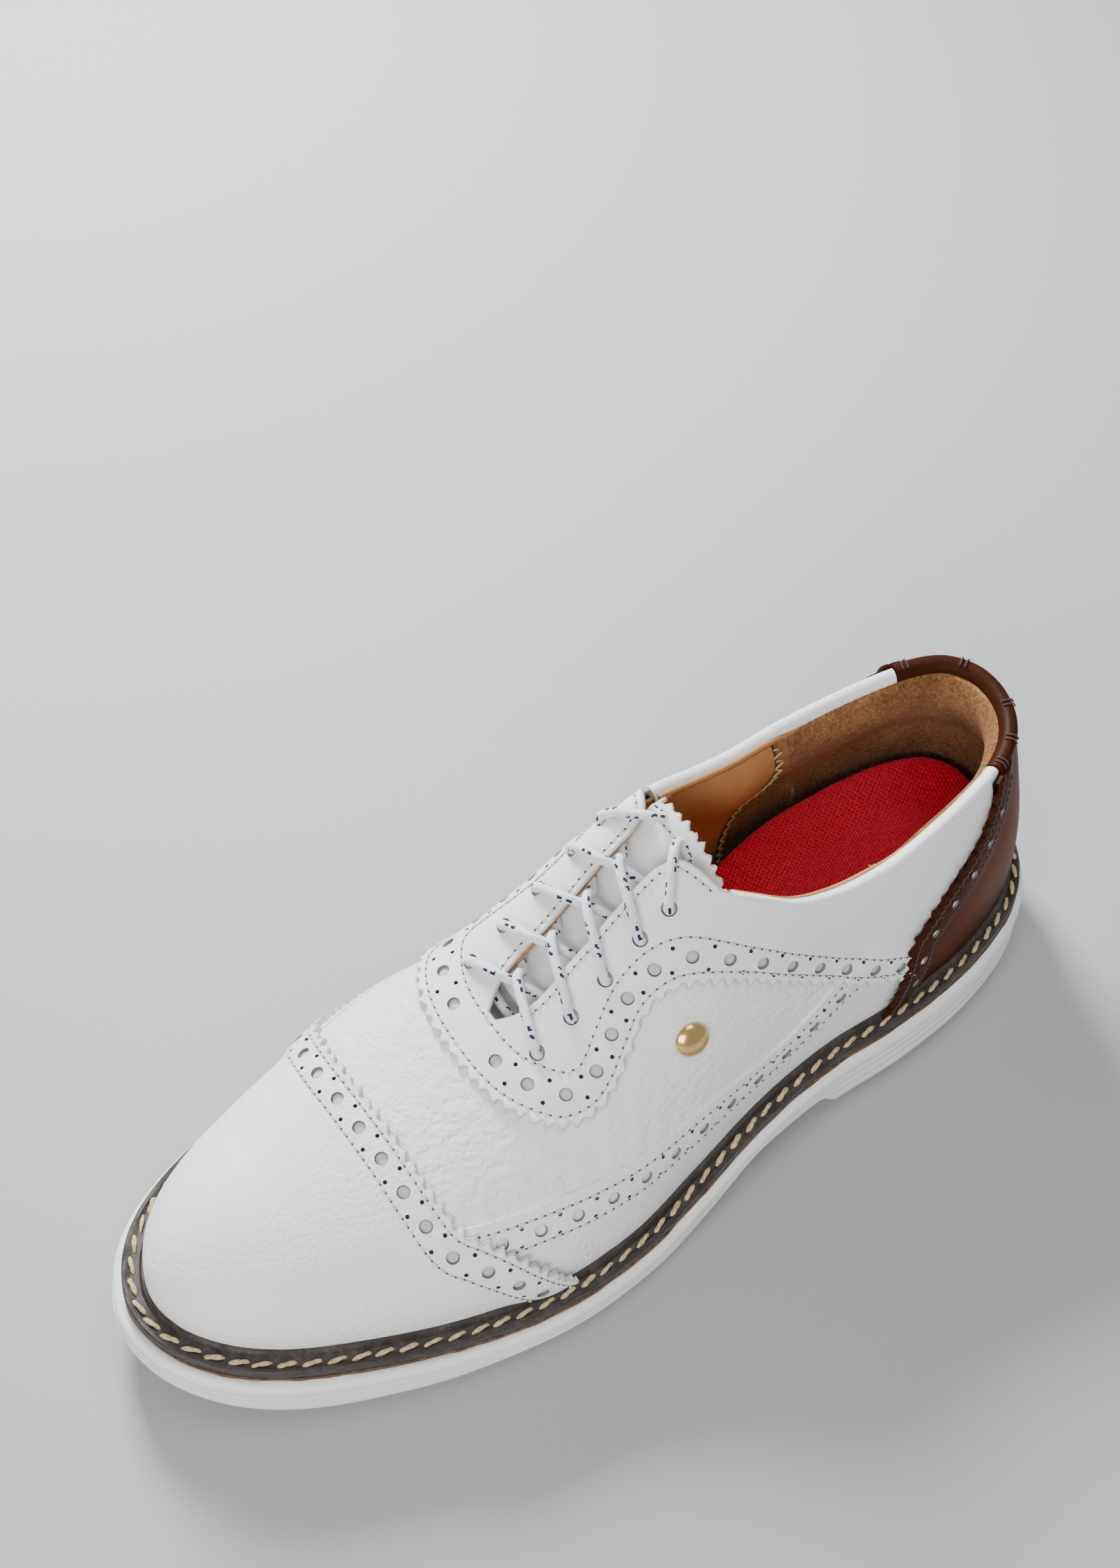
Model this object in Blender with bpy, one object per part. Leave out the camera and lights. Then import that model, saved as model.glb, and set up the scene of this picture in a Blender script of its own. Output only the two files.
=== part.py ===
"""Left golf shoe: a welted brogue oxford on a one-piece white spikeless sole.

Frame: origin at the centre of the bounding box's underside, +Z up, toe to -Y, lateral side +X.
Lengths in this file are millimetres, and MM turns them into metres when a mesh is made.

The upper hangs on a last, a surface of ribs that climb from the feather line, where the upper
meets the welt, to a spine along the instep. A point of the last is found in two ways:
  perimeter chart (p, q): p along the feather line from the heel back over the lateral side,
      q up the rib;
  spine chart (x, v): v from the toe tip along the shoe, x out from the spine along the rib,
      lateral positive; ahead of the toe centre it is polar about that centre.
A third number h is the height over the last's surface, so each layer is a range of h.
"""
import math

import bmesh
import bpy
import numpy as np
from mathutils import Vector
from mathutils.geometry import delaunay_2d_cdt

MM = 0.001

# ---- driving dimensions ---------------------------------------------------------------------
Y_OF_TOE = -148.0                  # world y of v = 0
X_SHIFT = -1.85                    # puts the middle of the whole shoe at world x = 0
TOE_CENTRE, HEEL_CENTRE = 45.0, 262.0

# Welt edge, as (x, v) around the shoe from the toe tip over the lateral side.
WELT_EDGE = [(-6, -2), (8.5, 1), (21.6, 10.5), (32, 24.5), (41, 44), (50, 70), (55.3, 98),
             (54.2, 125), (48.8, 150), (43.6, 175), (41.2, 200), (41.2, 225), (38.6, 250),
             (32.5, 271), (24.6, 284.3), (13, 293.5), (-1, 297.8), (-15, 296.5), (-28, 288),
             (-35.6, 272), (-38.9, 250), (-38.6, 225), (-35.3, 200), (-34.2, 175),
             (-39.5, 150), (-46.6, 125), (-51.6, 98), (-50.9, 70), (-46, 43.5),
             (-38.5, 23.3), (-29.8, 10.3), (-19, 2)]
FEATHER_INSET = ([0, 50, 100, 150, 200, 300], [8, 7.5, 6.3, 5.5, 5.2, 4.6])

# Spine of the last by station v: its x and its height.
SPINE_X = ([45, 80, 120, 160, 190, 225, 262], [-8, -11.5, -14.5, -15, -12, -5, -1.5])
SPINE_Z = ([45, 80, 115, 140, 160, 185, 220, 262], [53, 60, 71, 88, 105, 118, 122, 118])
# Roundness of the ribs (superellipse exponents) by station, and how far the wall bulges.
RIB_STATIONS = [0, 45, 80, 120, 150, 190, 230, 300]
ROUND_H_LATERAL = [2.3, 2.3, 2.3, 2.0, 1.85, 1.9, 2.0, 1.9]
ROUND_W_LATERAL = [2.1, 2.1, 2.1, 2.1, 2.1, 2.2, 2.4, 2.4]
ROUND_H_MEDIAL = [2.3, 2.4, 2.6, 2.6, 2.3, 2.1, 2.0, 1.9]
ROUND_W_MEDIAL = [2.1, 2.2, 2.4, 2.6, 2.6, 2.4, 2.4, 2.4]
WALL_BULGE = ([0, 60, 120, 180, 240, 270, 300], [1.0, 1.5, 1.5, 0.5, 1.5, 1.0, 0.5])
BULGE_HEIGHT = 45.0

# Height of the top line over the ground, by station.
TOPLINE_LATERAL = ([170, 184, 192, 203, 219, 240, 262, 300], [102, 95.5, 91, 88, 88, 91, 93, 95])
TOPLINE_MEDIAL = ([168, 182, 192, 203, 221, 242, 262, 300], [106, 103, 99, 96, 94, 92.5, 93, 95])

# Layers of the upper, as (inner, outer) heights over the last.
OUTER = (-1.5, 0.0)
OVERLAY = (-1.5, 0.7)              # toe cap, foxing and counter stand a little proud
STIFFENER = (-3.1, -2.1)
LINING = (-4.7, -3.6)
FACING_LINING = (-3.2, -2.2)       # where the lining comes up under the facings
TAB_HALF = 15.0                    # half the width of the heel tab
COLLAR_PAD = 4.5                   # how far the padded collar brings its lining in
SEAM = 0.2                         # half the gap between pieces that meet edge to edge

# Throat, in the spine chart.
THROAT_X = 9.75
THROAT_HALF = 5.75
THROAT_FRONT, FACING_TOP = 114.0, 163.0
EYELET_V = [118.0, 129.3, 140.6, 151.9, 161.0]
EYELET_OFFSET = 16.25
EYELET_RADIUS = 3.1
LACE_RADIUS = 1.25

# Tongue layers and outline.
TONGUE = (-8.7, -7.5)
TONGUE_PAD = (-11.4, -9.6)
TONGUE_LINING = (-12.9, -11.9)
TONGUE_BASE, TONGUE_TOP = 116.0, 176.0

# Sole.
WELT_THICK = 3.0
RUNNER_THICK = 1.7
SOLE_FLARE = 1.8                   # how far the white sole stands out beyond the welt
OUTSOLE_THICK = 3.2
LUG_HEIGHT, LUG_RADIUS, LUG_PITCH = 2.0, 6.0, 17.0
LUG_ROOT = 1.5                     # how deep a lug runs into the tread
GROUND_GAP = 0.3
SOLE_INSET, SOLE_STEP, SOLE_SPACING = 1.2, 8.0, 16.0
WAIST_LIFT = 7.5
TOE_SPRING = 7.0


# ---- small mathematics ----------------------------------------------------------------------
def through(knots, x):
    """Smooth curve through knots = (xs, ys), constant beyond its ends."""
    xs = np.asarray(knots[0], float)
    ys = np.asarray(knots[1], float)
    x = np.clip(np.asarray(x, float), xs[0], xs[-1])
    slope = np.gradient(ys, xs)
    i = np.clip(np.searchsorted(xs, x) - 1, 0, len(xs) - 2)
    width = xs[i + 1] - xs[i]
    t = (x - xs[i]) / width
    rise = (2 * t**3 - 3 * t**2 + 1) * ys[i] + (-2 * t**3 + 3 * t**2) * ys[i + 1]
    return rise + width * ((t**3 - 2 * t**2 + t) * slope[i] + (t**3 - t**2) * slope[i + 1])


def smooth_step(x, low, high):
    t = np.clip((np.asarray(x, float) - low) / (high - low), 0, 1)
    return t * t * (3 - 2 * t)


def spline(points, steps, closed=False):
    """Points of a smooth curve through the given points, in any dimension."""
    pts = np.asarray(points, float)
    if closed:
        pts = np.vstack([pts[-1], pts, pts[0], pts[1]])
    else:
        pts = np.vstack([2 * pts[0] - pts[1], pts, 2 * pts[-1] - pts[-2]])
    knots = np.concatenate([[0], np.cumsum(np.linalg.norm(np.diff(pts, axis=0), axis=1)**0.5)])
    out = []
    for i in range(1, len(pts) - 2):
        span = knots[i + 1] - knots[i]
        m0 = (pts[i + 1] - pts[i - 1]) / (knots[i + 1] - knots[i - 1]) * span
        m1 = (pts[i + 2] - pts[i]) / (knots[i + 2] - knots[i]) * span
        for t in np.linspace(0, 1, steps, endpoint=False):
            out.append((2 * t**3 - 3 * t**2 + 1) * pts[i] + (t**3 - 2 * t**2 + t) * m0
                       + (-2 * t**3 + 3 * t**2) * pts[i + 1] + (t**3 - t**2) * m1)
    if not closed:
        out.append(pts[-2])
    return np.array(out)


def resample(points, step, closed=False):
    """The same path with evenly spaced points about step apart."""
    pts = np.asarray(points, float)
    if closed:
        pts = np.vstack([pts, pts[:1]])
    along = np.concatenate([[0], np.cumsum(np.linalg.norm(np.diff(pts, axis=0), axis=1))])
    count = max(2, int(round(along[-1] / step)) + 1)
    at = np.linspace(0, along[-1], count)
    out = np.column_stack([np.interp(at, along, pts[:, k]) for k in range(pts.shape[1])])
    return out[:-1] if closed else out


def offset_outline(outline, inset):
    """A closed plan outline moved inward by inset (a number or one for each point)."""
    along = np.roll(outline, -1, 0) - np.roll(outline, 1, 0)
    along /= np.linalg.norm(along, axis=1)[:, None]
    inward = np.column_stack([along[:, 1], -along[:, 0]])
    if ((outline.mean(0) - outline) * inward).sum() < 0:
        inward = -inward
    return outline + inward * np.broadcast_to(inset, len(outline))[:, None]


def inside(points, polygon):
    """Which points lie inside a polygon."""
    x, y = points[:, 0], points[:, 1]
    result = np.zeros(len(points), bool)
    ax, ay = polygon[:, 0], polygon[:, 1]
    bx, by = np.roll(ax, -1), np.roll(ay, -1)
    for i in range(len(polygon)):
        crosses = (ay[i] > y) != (by[i] > y)
        rise = by[i] - ay[i] if by[i] != ay[i] else 1e-9
        result ^= crosses & (x < (bx[i] - ax[i]) * (y - ay[i]) / rise + ax[i])
    return result


def distance_to(points, polygon):
    """Distance from each point to a closed polygon's edge."""
    a = polygon
    d = np.roll(polygon, -1, 0) - a
    t = ((points[:, None] - a) * d).sum(2) / ((d**2).sum(1) + 1e-12)
    nearest = a + np.clip(t, 0, 1)[..., None] * d
    return np.linalg.norm(points[:, None] - nearest, axis=2).min(1)


# ---- the last -------------------------------------------------------------------------------
def welt_height(v):
    """Height of the welt's upper face: level at the ball, up to the toe and up to the heel."""
    v = np.asarray(v, float)
    return 18 + 8 * np.clip((90 - v) / 90, 0, 1.05)**2 + 10 * smooth_step(v, 120, 210)


WELT_OUTLINE = spline(WELT_EDGE, 12, closed=True)
FEATHER = offset_outline(WELT_OUTLINE, through(FEATHER_INSET, WELT_OUTLINE[:, 1]))


def feather_x(v, side):
    """x of the feather line at a station, on the side with the given sign."""
    line = FEATHER[(FEATHER[:, 0] - through(SPINE_X, FEATHER[:, 1])) * side > 0]
    line = line[np.argsort(line[:, 1])]
    return float(np.interp(v, line[:, 1], line[:, 0]))


def feather_radius(centre, angle):
    """Distance from a fan's centre to the feather line; angle is from +v towards +x."""
    d = FEATHER - centre
    around = np.arctan2(d[:, 0], d[:, 1])
    order = np.argsort(around)
    turns = np.concatenate([around[order] - 2 * math.pi, around[order],
                            around[order] + 2 * math.pi])
    return float(np.interp(angle, turns, np.tile(np.hypot(d[:, 0], d[:, 1])[order], 3)))


class Last:
    """The surface that the upper is shaped on, as a grid of ribs read by interpolation."""
    FAN, STRAIGHT, RISE = 40, 90, 81

    def __init__(self):
        heel = np.array([through(SPINE_X, HEEL_CENTRE), HEEL_CENTRE])
        toe = np.array([through(SPINE_X, TOE_CENTRE), TOE_CENTRE])
        foot, inward, half, side, crown = [], [], [], [], []

        def add_fan(centre, start, stop, count):
            for angle in np.linspace(start, stop, count, endpoint=False):
                out = np.array([math.sin(angle), math.cos(angle)])
                turn = (angle + math.pi) % (2 * math.pi) - math.pi
                radius = feather_radius(centre, turn)
                foot.append(centre + radius * out)
                inward.append(-out)
                half.append(radius)
                side.append(out[0])
                crown.append(float(through(SPINE_Z, centre[1])))

        def add_straight(start, stop, sign):
            for v in np.linspace(start, stop, self.STRAIGHT, endpoint=False):
                x = feather_x(v, sign)
                foot.append(np.array([x, v]))
                inward.append(np.array([-sign, 0.0]))
                half.append(abs(x - float(through(SPINE_X, v))))
                side.append(float(sign))
                crown.append(float(through(SPINE_Z, v)))

        add_fan(heel, 0, math.pi / 2, self.FAN)
        add_straight(HEEL_CENTRE, TOE_CENTRE, 1)
        add_fan(toe, math.pi / 2, 1.5 * math.pi, 2 * self.FAN)
        add_straight(TOE_CENTRE, HEEL_CENTRE, -1)
        add_fan(heel, 1.5 * math.pi, 2 * math.pi, self.FAN)
        for values in (foot, inward, half, side, crown):
            values.append(values[0])
        self.foot = np.array(foot)
        self.shape_ribs(np.array(inward), np.array(half), np.array(side), np.array(crown))
        self.find_normals()

    def shape_ribs(self, inward, half, side, crown):
        v = self.foot[:, 1]
        lateral = (1 + side) / 2
        round_h = (through((RIB_STATIONS, ROUND_H_LATERAL), v) * lateral
                   + through((RIB_STATIONS, ROUND_H_MEDIAL), v) * (1 - lateral))
        round_w = (through((RIB_STATIONS, ROUND_W_LATERAL), v) * lateral
                   + through((RIB_STATIONS, ROUND_W_MEDIAL), v) * (1 - lateral))
        base = welt_height(v) + 0.5
        turn = np.linspace(0, math.pi / 2, self.RISE)[None, :]
        width = half[:, None] * np.cos(turn)**(2 / round_w[:, None])
        height = (crown - base)[:, None] * np.sin(turn)**(2 / round_h[:, None])
        swell = np.sin(math.pi * np.clip(height / BULGE_HEIGHT, 0, 1))
        width = width + through(WALL_BULGE, v)[:, None] * swell * width / half[:, None]
        spine = self.foot + inward * half[:, None]
        raw = np.empty(width.shape + (3,))
        raw[..., 0] = spine[:, None, 0] - inward[:, None, 0] * width
        raw[..., 1] = spine[:, None, 1] - inward[:, None, 1] * width + Y_OF_TOE
        raw[..., 2] = base[:, None] + height
        steps = np.linalg.norm(np.diff(raw, axis=1), axis=2)
        along = np.concatenate([np.zeros((len(raw), 1)), np.cumsum(steps, axis=1)], axis=1)
        self.length = along[:, -1]
        self.grid = np.empty_like(raw)
        even = np.linspace(0, 1, self.RISE)
        for i in range(len(raw)):
            for k in range(3):
                self.grid[i, :, k] = np.interp(even * along[i, -1], along[i], raw[i, :, k])

    def find_normals(self):
        ring = np.concatenate([self.grid[-2:-1], self.grid, self.grid[1:2]])
        around = ring[2:] - ring[:-2]
        normal = np.cross(np.gradient(self.grid, axis=1), around)
        normal[:, -1] = normal[:, -2]
        normal /= np.linalg.norm(normal, axis=2)[..., None]
        if (normal[:, 5, :2] * (self.grid[:, 5, :2] - self.grid[:, 5, :2].mean(0))).sum() < 0:
            normal = -normal
        self.normal = normal
        steps = np.linalg.norm(np.diff(self.foot, axis=0), axis=1)
        self.perimeter = np.concatenate([[0], np.cumsum(steps)])

    def sample(self, rib, q, h):
        """World points in mm for rib numbers, heights q up the rib and heights h over it."""
        rib, q, h = np.broadcast_arrays(np.asarray(rib, float), q, h)
        last_rib = len(self.grid) - 1
        i = np.clip(np.floor(rib).astype(int), 0, last_rib - 1)
        u = np.clip(rib - i, 0, 1)
        length = self.length[i] * (1 - u) + self.length[i + 1] * u
        s = np.clip(q / length, 0, 1) * (self.RISE - 1)
        j = np.clip(np.floor(s).astype(int), 0, self.RISE - 2)
        w = s - j

        def blend(field):
            low = field[i, j] * (1 - w)[..., None] + field[i, j + 1] * w[..., None]
            high = field[i + 1, j] * (1 - w)[..., None] + field[i + 1, j + 1] * w[..., None]
            return low * (1 - u)[..., None] + high * u[..., None]

        normal = blend(self.normal)
        normal /= np.linalg.norm(normal, axis=-1)[..., None]
        return blend(self.grid) + normal * np.asarray(h)[..., None]

    def rib_at(self, p):
        """Rib number at perimeter distance p, which may be negative on the medial side."""
        return np.interp(np.mod(p, self.perimeter[-1]), self.perimeter,
                         np.arange(len(self.perimeter)))

    def rib_of_station(self, v, side):
        """Rib number at a station v of the straight stretch."""
        share = (HEEL_CENTRE - np.asarray(v, float)) / (HEEL_CENTRE - TOE_CENTRE)
        if side > 0:
            return self.FAN + share * self.STRAIGHT
        return 3 * self.FAN + self.STRAIGHT + (1 - share) * self.STRAIGHT

    def rib_length(self, rib):
        return np.interp(rib, np.arange(len(self.length)), self.length)

    def perimeter_at(self, rib):
        """Perimeter distance of a rib, negative on the medial side of the heel."""
        p = np.interp(rib, np.arange(len(self.perimeter)), self.perimeter)
        return np.where(p > self.perimeter[-1] / 2, p - self.perimeter[-1], p)

    def from_spine(self, points):
        """Rib numbers and heights q of points (x, v) of the spine chart."""
        x, v = points[:, 0], points[:, 1]
        rib = np.where(x >= 0, self.rib_of_station(np.maximum(v, TOE_CENTRE), 1),
                       self.rib_of_station(np.maximum(v, TOE_CENTRE), -1))
        ahead = v < TOE_CENTRE
        angle = np.mod(np.arctan2(x, v - TOE_CENTRE), 2 * math.pi)
        fan = self.FAN + self.STRAIGHT + (angle - math.pi / 2) / math.pi * 2 * self.FAN
        rib = np.where(ahead, fan, rib)
        radius = np.where(ahead, np.hypot(x, v - TOE_CENTRE), np.abs(x))
        return rib, self.rib_length(rib) - radius

    def to_spine(self, v, q, side):
        """Point (x, v) of the spine chart at a station and height q up its rib."""
        reach = self.rib_length(self.rib_of_station(v, side)) - q
        return np.array([side * float(reach), float(v)])

    def feather_in_spine(self, v_from, v_to, count, q):
        """Spine-chart points round the toe, from lateral v_from to medial v_to, at height q."""
        start = float(self.rib_of_station(v_from, 1))
        stop = float(self.rib_of_station(v_to, -1))
        return np.array([self.rib_in_spine(rib, q) for rib in np.linspace(start, stop, count)])

    def rib_in_spine(self, rib, q):
        reach = float(self.rib_length(rib)) - q
        fan_start = self.FAN + self.STRAIGHT
        if rib < fan_start:
            return np.array([reach, HEEL_CENTRE - (rib - self.FAN) / self.STRAIGHT
                             * (HEEL_CENTRE - TOE_CENTRE)])
        if rib <= fan_start + 2 * self.FAN:
            angle = math.pi / 2 + (rib - fan_start) / (2 * self.FAN) * math.pi
            return np.array([reach * math.sin(angle), TOE_CENTRE + reach * math.cos(angle)])
        share = (rib - fan_start - 2 * self.FAN) / self.STRAIGHT
        return np.array([-reach, TOE_CENTRE + share * (HEEL_CENTRE - TOE_CENTRE)])

    def topline_q(self, rib):
        """Height q up the rib at which the top line runs."""
        rib = float(rib)
        i = int(min(max(round(rib), 0), len(self.grid) - 1))
        v = self.foot[i, 1]
        knots = TOPLINE_LATERAL if rib < len(self.grid) / 2 else TOPLINE_MEDIAL
        target = float(through(knots, v))
        heights = self.grid[i, :, 2]
        q = np.linspace(0, self.length[i], self.RISE)
        return float(np.interp(target, heights, q))


LAST = Last()


# ---- solids from a flat pattern -------------------------------------------------------------
MATERIALS = {
    "white_leather": ((0.80, 0.79, 0.76), 0.45, 0.0),
    "white_rubber": ((0.82, 0.82, 0.80), 0.5, 0.0),
    "white_foam": ((0.85, 0.85, 0.83), 0.7, 0.0),
    "brown_leather": ((0.11, 0.035, 0.018), 0.35, 0.0),
    "tan_leather": ((0.42, 0.2, 0.075), 0.55, 0.0),
    "suede": ((0.28, 0.15, 0.075), 0.95, 0.0),
    "red_fabric": ((0.45, 0.008, 0.012), 0.85, 0.0),
    "dark_welt": ((0.035, 0.028, 0.025), 0.6, 0.0),
    "cream_thread": ((0.7, 0.58, 0.36), 0.8, 0.0),
    "lace": ((0.82, 0.84, 0.9), 0.8, 0.0),
    "cork": ((0.4, 0.25, 0.13), 0.9, 0.0),
    "steel": ((0.5, 0.5, 0.52), 0.3, 1.0),
    "brass": ((0.75, 0.52, 0.2), 0.25, 1.0),
    "grey_foam": ((0.3, 0.3, 0.3), 0.9, 0.0),
    "board": ((0.5, 0.4, 0.28), 0.9, 0.0),
}


def material(name):
    found = bpy.data.materials.get(name)
    if found:
        return found
    colour, rough, metal = MATERIALS[name]
    made = bpy.data.materials.new(name)
    made.use_nodes = True
    shader = made.node_tree.nodes["Principled BSDF"]
    shader.inputs["Base Color"].default_value = (*colour, 1)
    shader.inputs["Roughness"].default_value = rough
    shader.inputs["Metallic"].default_value = metal
    made.diffuse_color = (*colour, 1)
    return made


def make_object(name, mesh, material_name, parent=None):
    mesh.materials.append(material(material_name))
    obj = bpy.data.objects.new(name, mesh)
    bpy.context.scene.collection.objects.link(obj)
    if parent:
        obj.parent = parent
        obj.location = -parent.location
    return obj


def placed(point):
    """World position in metres of a point in mm, measured from the shoe's own axis."""
    return Vector((float(point[0]) + X_SHIFT, float(point[1]), float(point[2]))) * MM


def mesh_from(name, verts, faces):
    """A closed mesh in metres from points in mm, with its faces turned outward."""
    mesh = bpy.data.meshes.new(name)
    mesh.from_pydata([placed(p) for p in verts], [], faces)
    work = bmesh.new()
    work.from_mesh(mesh)
    bmesh.ops.remove_doubles(work, verts=work.verts, dist=1e-7)
    bmesh.ops.recalc_face_normals(work, faces=work.faces)
    work.to_mesh(mesh)
    work.free()
    mesh.shade_smooth()
    mesh.set_sharp_from_angle(angle=math.radians(35))
    return mesh


def circle(centre, radius, count=10):
    turns = np.linspace(0, 2 * math.pi, count, endpoint=False)
    return np.column_stack([centre[0] + radius * np.cos(turns),
                            centre[1] + radius * np.sin(turns)])


def fill_pattern(outline, holes, spacing):
    """Triangles of a flat pattern: its points, its triangles and its rings of edge points."""
    low, high = outline.min(0), outline.max(0)
    rows = []
    for k, y in enumerate(np.arange(low[1] + spacing / 2, high[1], spacing * 0.87)):
        xs = np.arange(low[0] + (k % 2) * spacing / 2, high[0], spacing)
        rows.append(np.column_stack([xs, np.full(len(xs), y)]))
    inner = np.vstack(rows) if rows else np.zeros((0, 2))
    if len(inner):
        inner = inner[inside(inner, outline)]
    if len(inner):
        inner = inner[distance_to(inner, outline) > spacing * 0.5]
    for hole in holes:
        if len(inner):
            keep = ~inside(inner, hole) & (distance_to(inner, hole) > spacing * 0.4)
            inner = inner[keep]
    rings = [outline] + list(holes)
    points = np.vstack(rings + [inner]) if len(inner) else np.vstack(rings)
    edges, start = [], 0
    for ring in rings:
        edges += [(start + k, start + (k + 1) % len(ring)) for k in range(len(ring))]
        start += len(ring)
    result = delaunay_2d_cdt([Vector(p) for p in points], edges, [], 0, 1e-6)
    flat = np.array([tuple(p) for p in result[0]])
    corners = np.array([f[:3] for f in result[2]])
    middle = flat[corners].mean(1)
    keep = inside(middle, outline)
    for hole in holes:
        keep &= ~inside(middle, hole)
    return flat, corners[keep]


def solid(name, outline, lower, upper, material_name, spacing=8.0, holes=(), parent=None,
          sides=()):
    """A closed solid over a flat pattern, between two mapped surfaces.

    lower and upper take pattern points and give world points in mm. sides are further mappings
    for the pattern's edge, from the lower one up, which shape the side wall."""
    flat, triangles = fill_pattern(np.asarray(outline, float), [np.asarray(h) for h in holes],
                                   spacing)
    count = len(flat)
    counted = {}
    for a, b, c in triangles:
        for edge in ((a, b), (b, c), (c, a)):
            key = (min(edge), max(edge))
            counted[key] = None if key in counted else edge
    rim = [edge for edge in counted.values() if edge]
    verts = list(lower(flat)) + list(upper(flat))
    faces = [(int(c), int(b), int(a)) for a, b, c in triangles]
    faces += [(int(a) + count, int(b) + count, int(c) + count) for a, b, c in triangles]
    rim_points = sorted({v for edge in rim for v in edge})
    ladder = {v: [v] for v in rim_points}
    for wall in sides:
        for v, point in zip(rim_points, wall(flat[rim_points])):
            ladder[v].append(len(verts))
            verts.append(point)
    for v in rim_points:
        ladder[v].append(v + count)
    for a, b in rim:
        for low_a, low_b, up_a, up_b in zip(ladder[a], ladder[b], ladder[a][1:], ladder[b][1:]):
            faces.append((int(low_a), int(low_b), int(up_b)))
            faces.append((int(low_a), int(up_b), int(up_a)))
    return make_object(name, mesh_from(name, verts, faces), material_name, parent)


def on_spine(h):
    """Mapping of spine-chart points to the last at height h, a number or a function."""
    def mapping(points):
        rib, q = LAST.from_spine(points)
        return LAST.sample(rib, q, h(points) if callable(h) else h)
    return mapping


def on_perimeter(h):
    """Mapping of perimeter-chart points to the last at height h, a number or a function."""
    def mapping(points):
        return LAST.sample(LAST.rib_at(points[:, 0]), points[:, 1],
                           h(points) if callable(h) else h)
    return mapping


def at_height(z):
    """Mapping of plan points (x, v) to a height, a number or a function of v."""
    def mapping(points):
        top = z(points[:, 1]) if callable(z) else np.full(len(points), float(z))
        return np.column_stack([points[:, 0], points[:, 1] + Y_OF_TOE, top])
    return mapping


def over_welt(rise):
    return at_height(lambda v: welt_height(v) + rise)


def join(*paths):
    """One closed outline from open paths given in order."""
    points = np.vstack([np.atleast_2d(np.asarray(p, float)) for p in paths])
    keep = np.linalg.norm(points - np.roll(points, 1, 0), axis=1) > 1e-3
    return points[keep]


def shrink(outline, amount=SEAM):
    """An outline drawn in by the seam's half gap, in its own chart."""
    return offset_outline(outline, amount)


# ---- seams of the upper ---------------------------------------------------------------------
def snapped(path, *corners):
    """A path whose points nearest to the corners are moved onto them."""
    path = np.array(path)
    for corner in corners:
        path[int(np.argmin(((path - corner)**2).sum(1)))] = corner
    return path


def part_of(path, start, stop):
    """The stretch of a path between the points nearest to start and stop, in that order."""
    i, j = (int(np.argmin(((path - p)**2).sum(1))) for p in (start, stop))
    return path[i:j + 1] if i <= j else path[j:i + 1][::-1]


CAP_CORNER = (78.5, 33)            # station and height where the cap's wing begins


def cap_seam():
    """Rear edge of the toe cap in the spine chart, from lateral feather to medial feather."""
    wing = [(104, 0), (100, 6), (93, 16), (88, 22.5), (83, 28), (78.5, 33)]
    lateral = [LAST.to_spine(v, q, 1) for v, q in wing]
    medial = [LAST.to_spine(v, q, -1) for v, q in reversed(wing)]
    across = [(34, 77), (18, 76.5), (2, 76), (-14, 76)]
    path = resample(np.array(lateral + [np.array(p, float) for p in across] + medial), 7)
    return snapped(path, LAST.to_spine(*CAP_CORNER, 1), LAST.to_spine(*CAP_CORNER, -1))


BAND_EDGE = [(0, 100.5), (9, 101), (18, 103), (27, 107.5), (35, 114), (39, 123), (38, 131),
             (34, 139), (31, 146), (33, 154), (40, 163), (50, 174), (60.5, 185), (70.5, 198),
             (77.5, 210), (83.5, 222)]


def band_seam(side):
    """Outer edge of the throat facing, from the centre forward to the counter."""
    points = []
    for reach, v in BAND_EDGE:
        x = THROAT_X + side * reach
        if v > 150:
            lateral = LAST.rib_length(LAST.rib_of_station(v, 1)) - (THROAT_X + reach)
            x = LAST.to_spine(v, float(lateral), side)[0]
        points.append((x, v))
    return snapped(resample(np.array(points), 6), band_foot(side))


def band_foot(side):
    """Point where the foxing's upper edge runs in under the facing's edge."""
    return LAST.to_spine(FOXING_EDGE[-1][0], FOXING_EDGE[-1][1], side)


FOXING_EDGE = [(78.5, 33), (90, 32.4), (104, 31.4), (120, 29.8), (134, 28.3), (147, 27),
               (159, 25), (171, 22.6), (182, 22), (192, 25), (200, 29.5), (205, 31.5)]


def foxing_seam(side):
    """Upper edge of the foxing, from the cap back to the facing's edge."""
    return resample(np.array([LAST.to_spine(v, q, side) for v, q in FOXING_EDGE]), 8)


COUNTER_EDGE = [(219, 0), (221.5, 6), (224, 17), (226.5, 29), (232, 35), (240, 41), (247, 45),
                (254, 50.5), (259.5, 58)]
COUNTER_TOP_V = 263.5


def counter_seam(side):
    """Front edge of the counter in the perimeter chart, from the feather to the top line."""
    points = [(float(LAST.perimeter_at(LAST.rib_of_station(v, side))), q)
              for v, q in COUNTER_EDGE]
    rib = LAST.FAN - 1.5 if side > 0 else len(LAST.grid) - 1 - LAST.FAN + 1.5
    points.append((float(LAST.perimeter_at(rib)), LAST.topline_q(rib)))
    return np.array(points)


def counter_in_spine(side):
    """The counter's front edge in the spine chart, as far up as its straight ribs reach."""
    points = [LAST.to_spine(v, q, side) for v, q in COUNTER_EDGE]
    top_q = LAST.topline_q(LAST.rib_of_station(HEEL_CENTRE, side))
    points.append(LAST.to_spine(HEEL_CENTRE - 0.3, top_q, side))
    return np.array(points)


def topline_in_spine(side, v_from, v_to, drop=0.0, step=7.0):
    count = max(2, int(abs(v_to - v_from) / step))
    stations = np.linspace(v_from, v_to, count)
    return np.array([LAST.to_spine(v, LAST.topline_q(LAST.rib_of_station(v, side)) - drop, side)
                     for v in stations])


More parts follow.
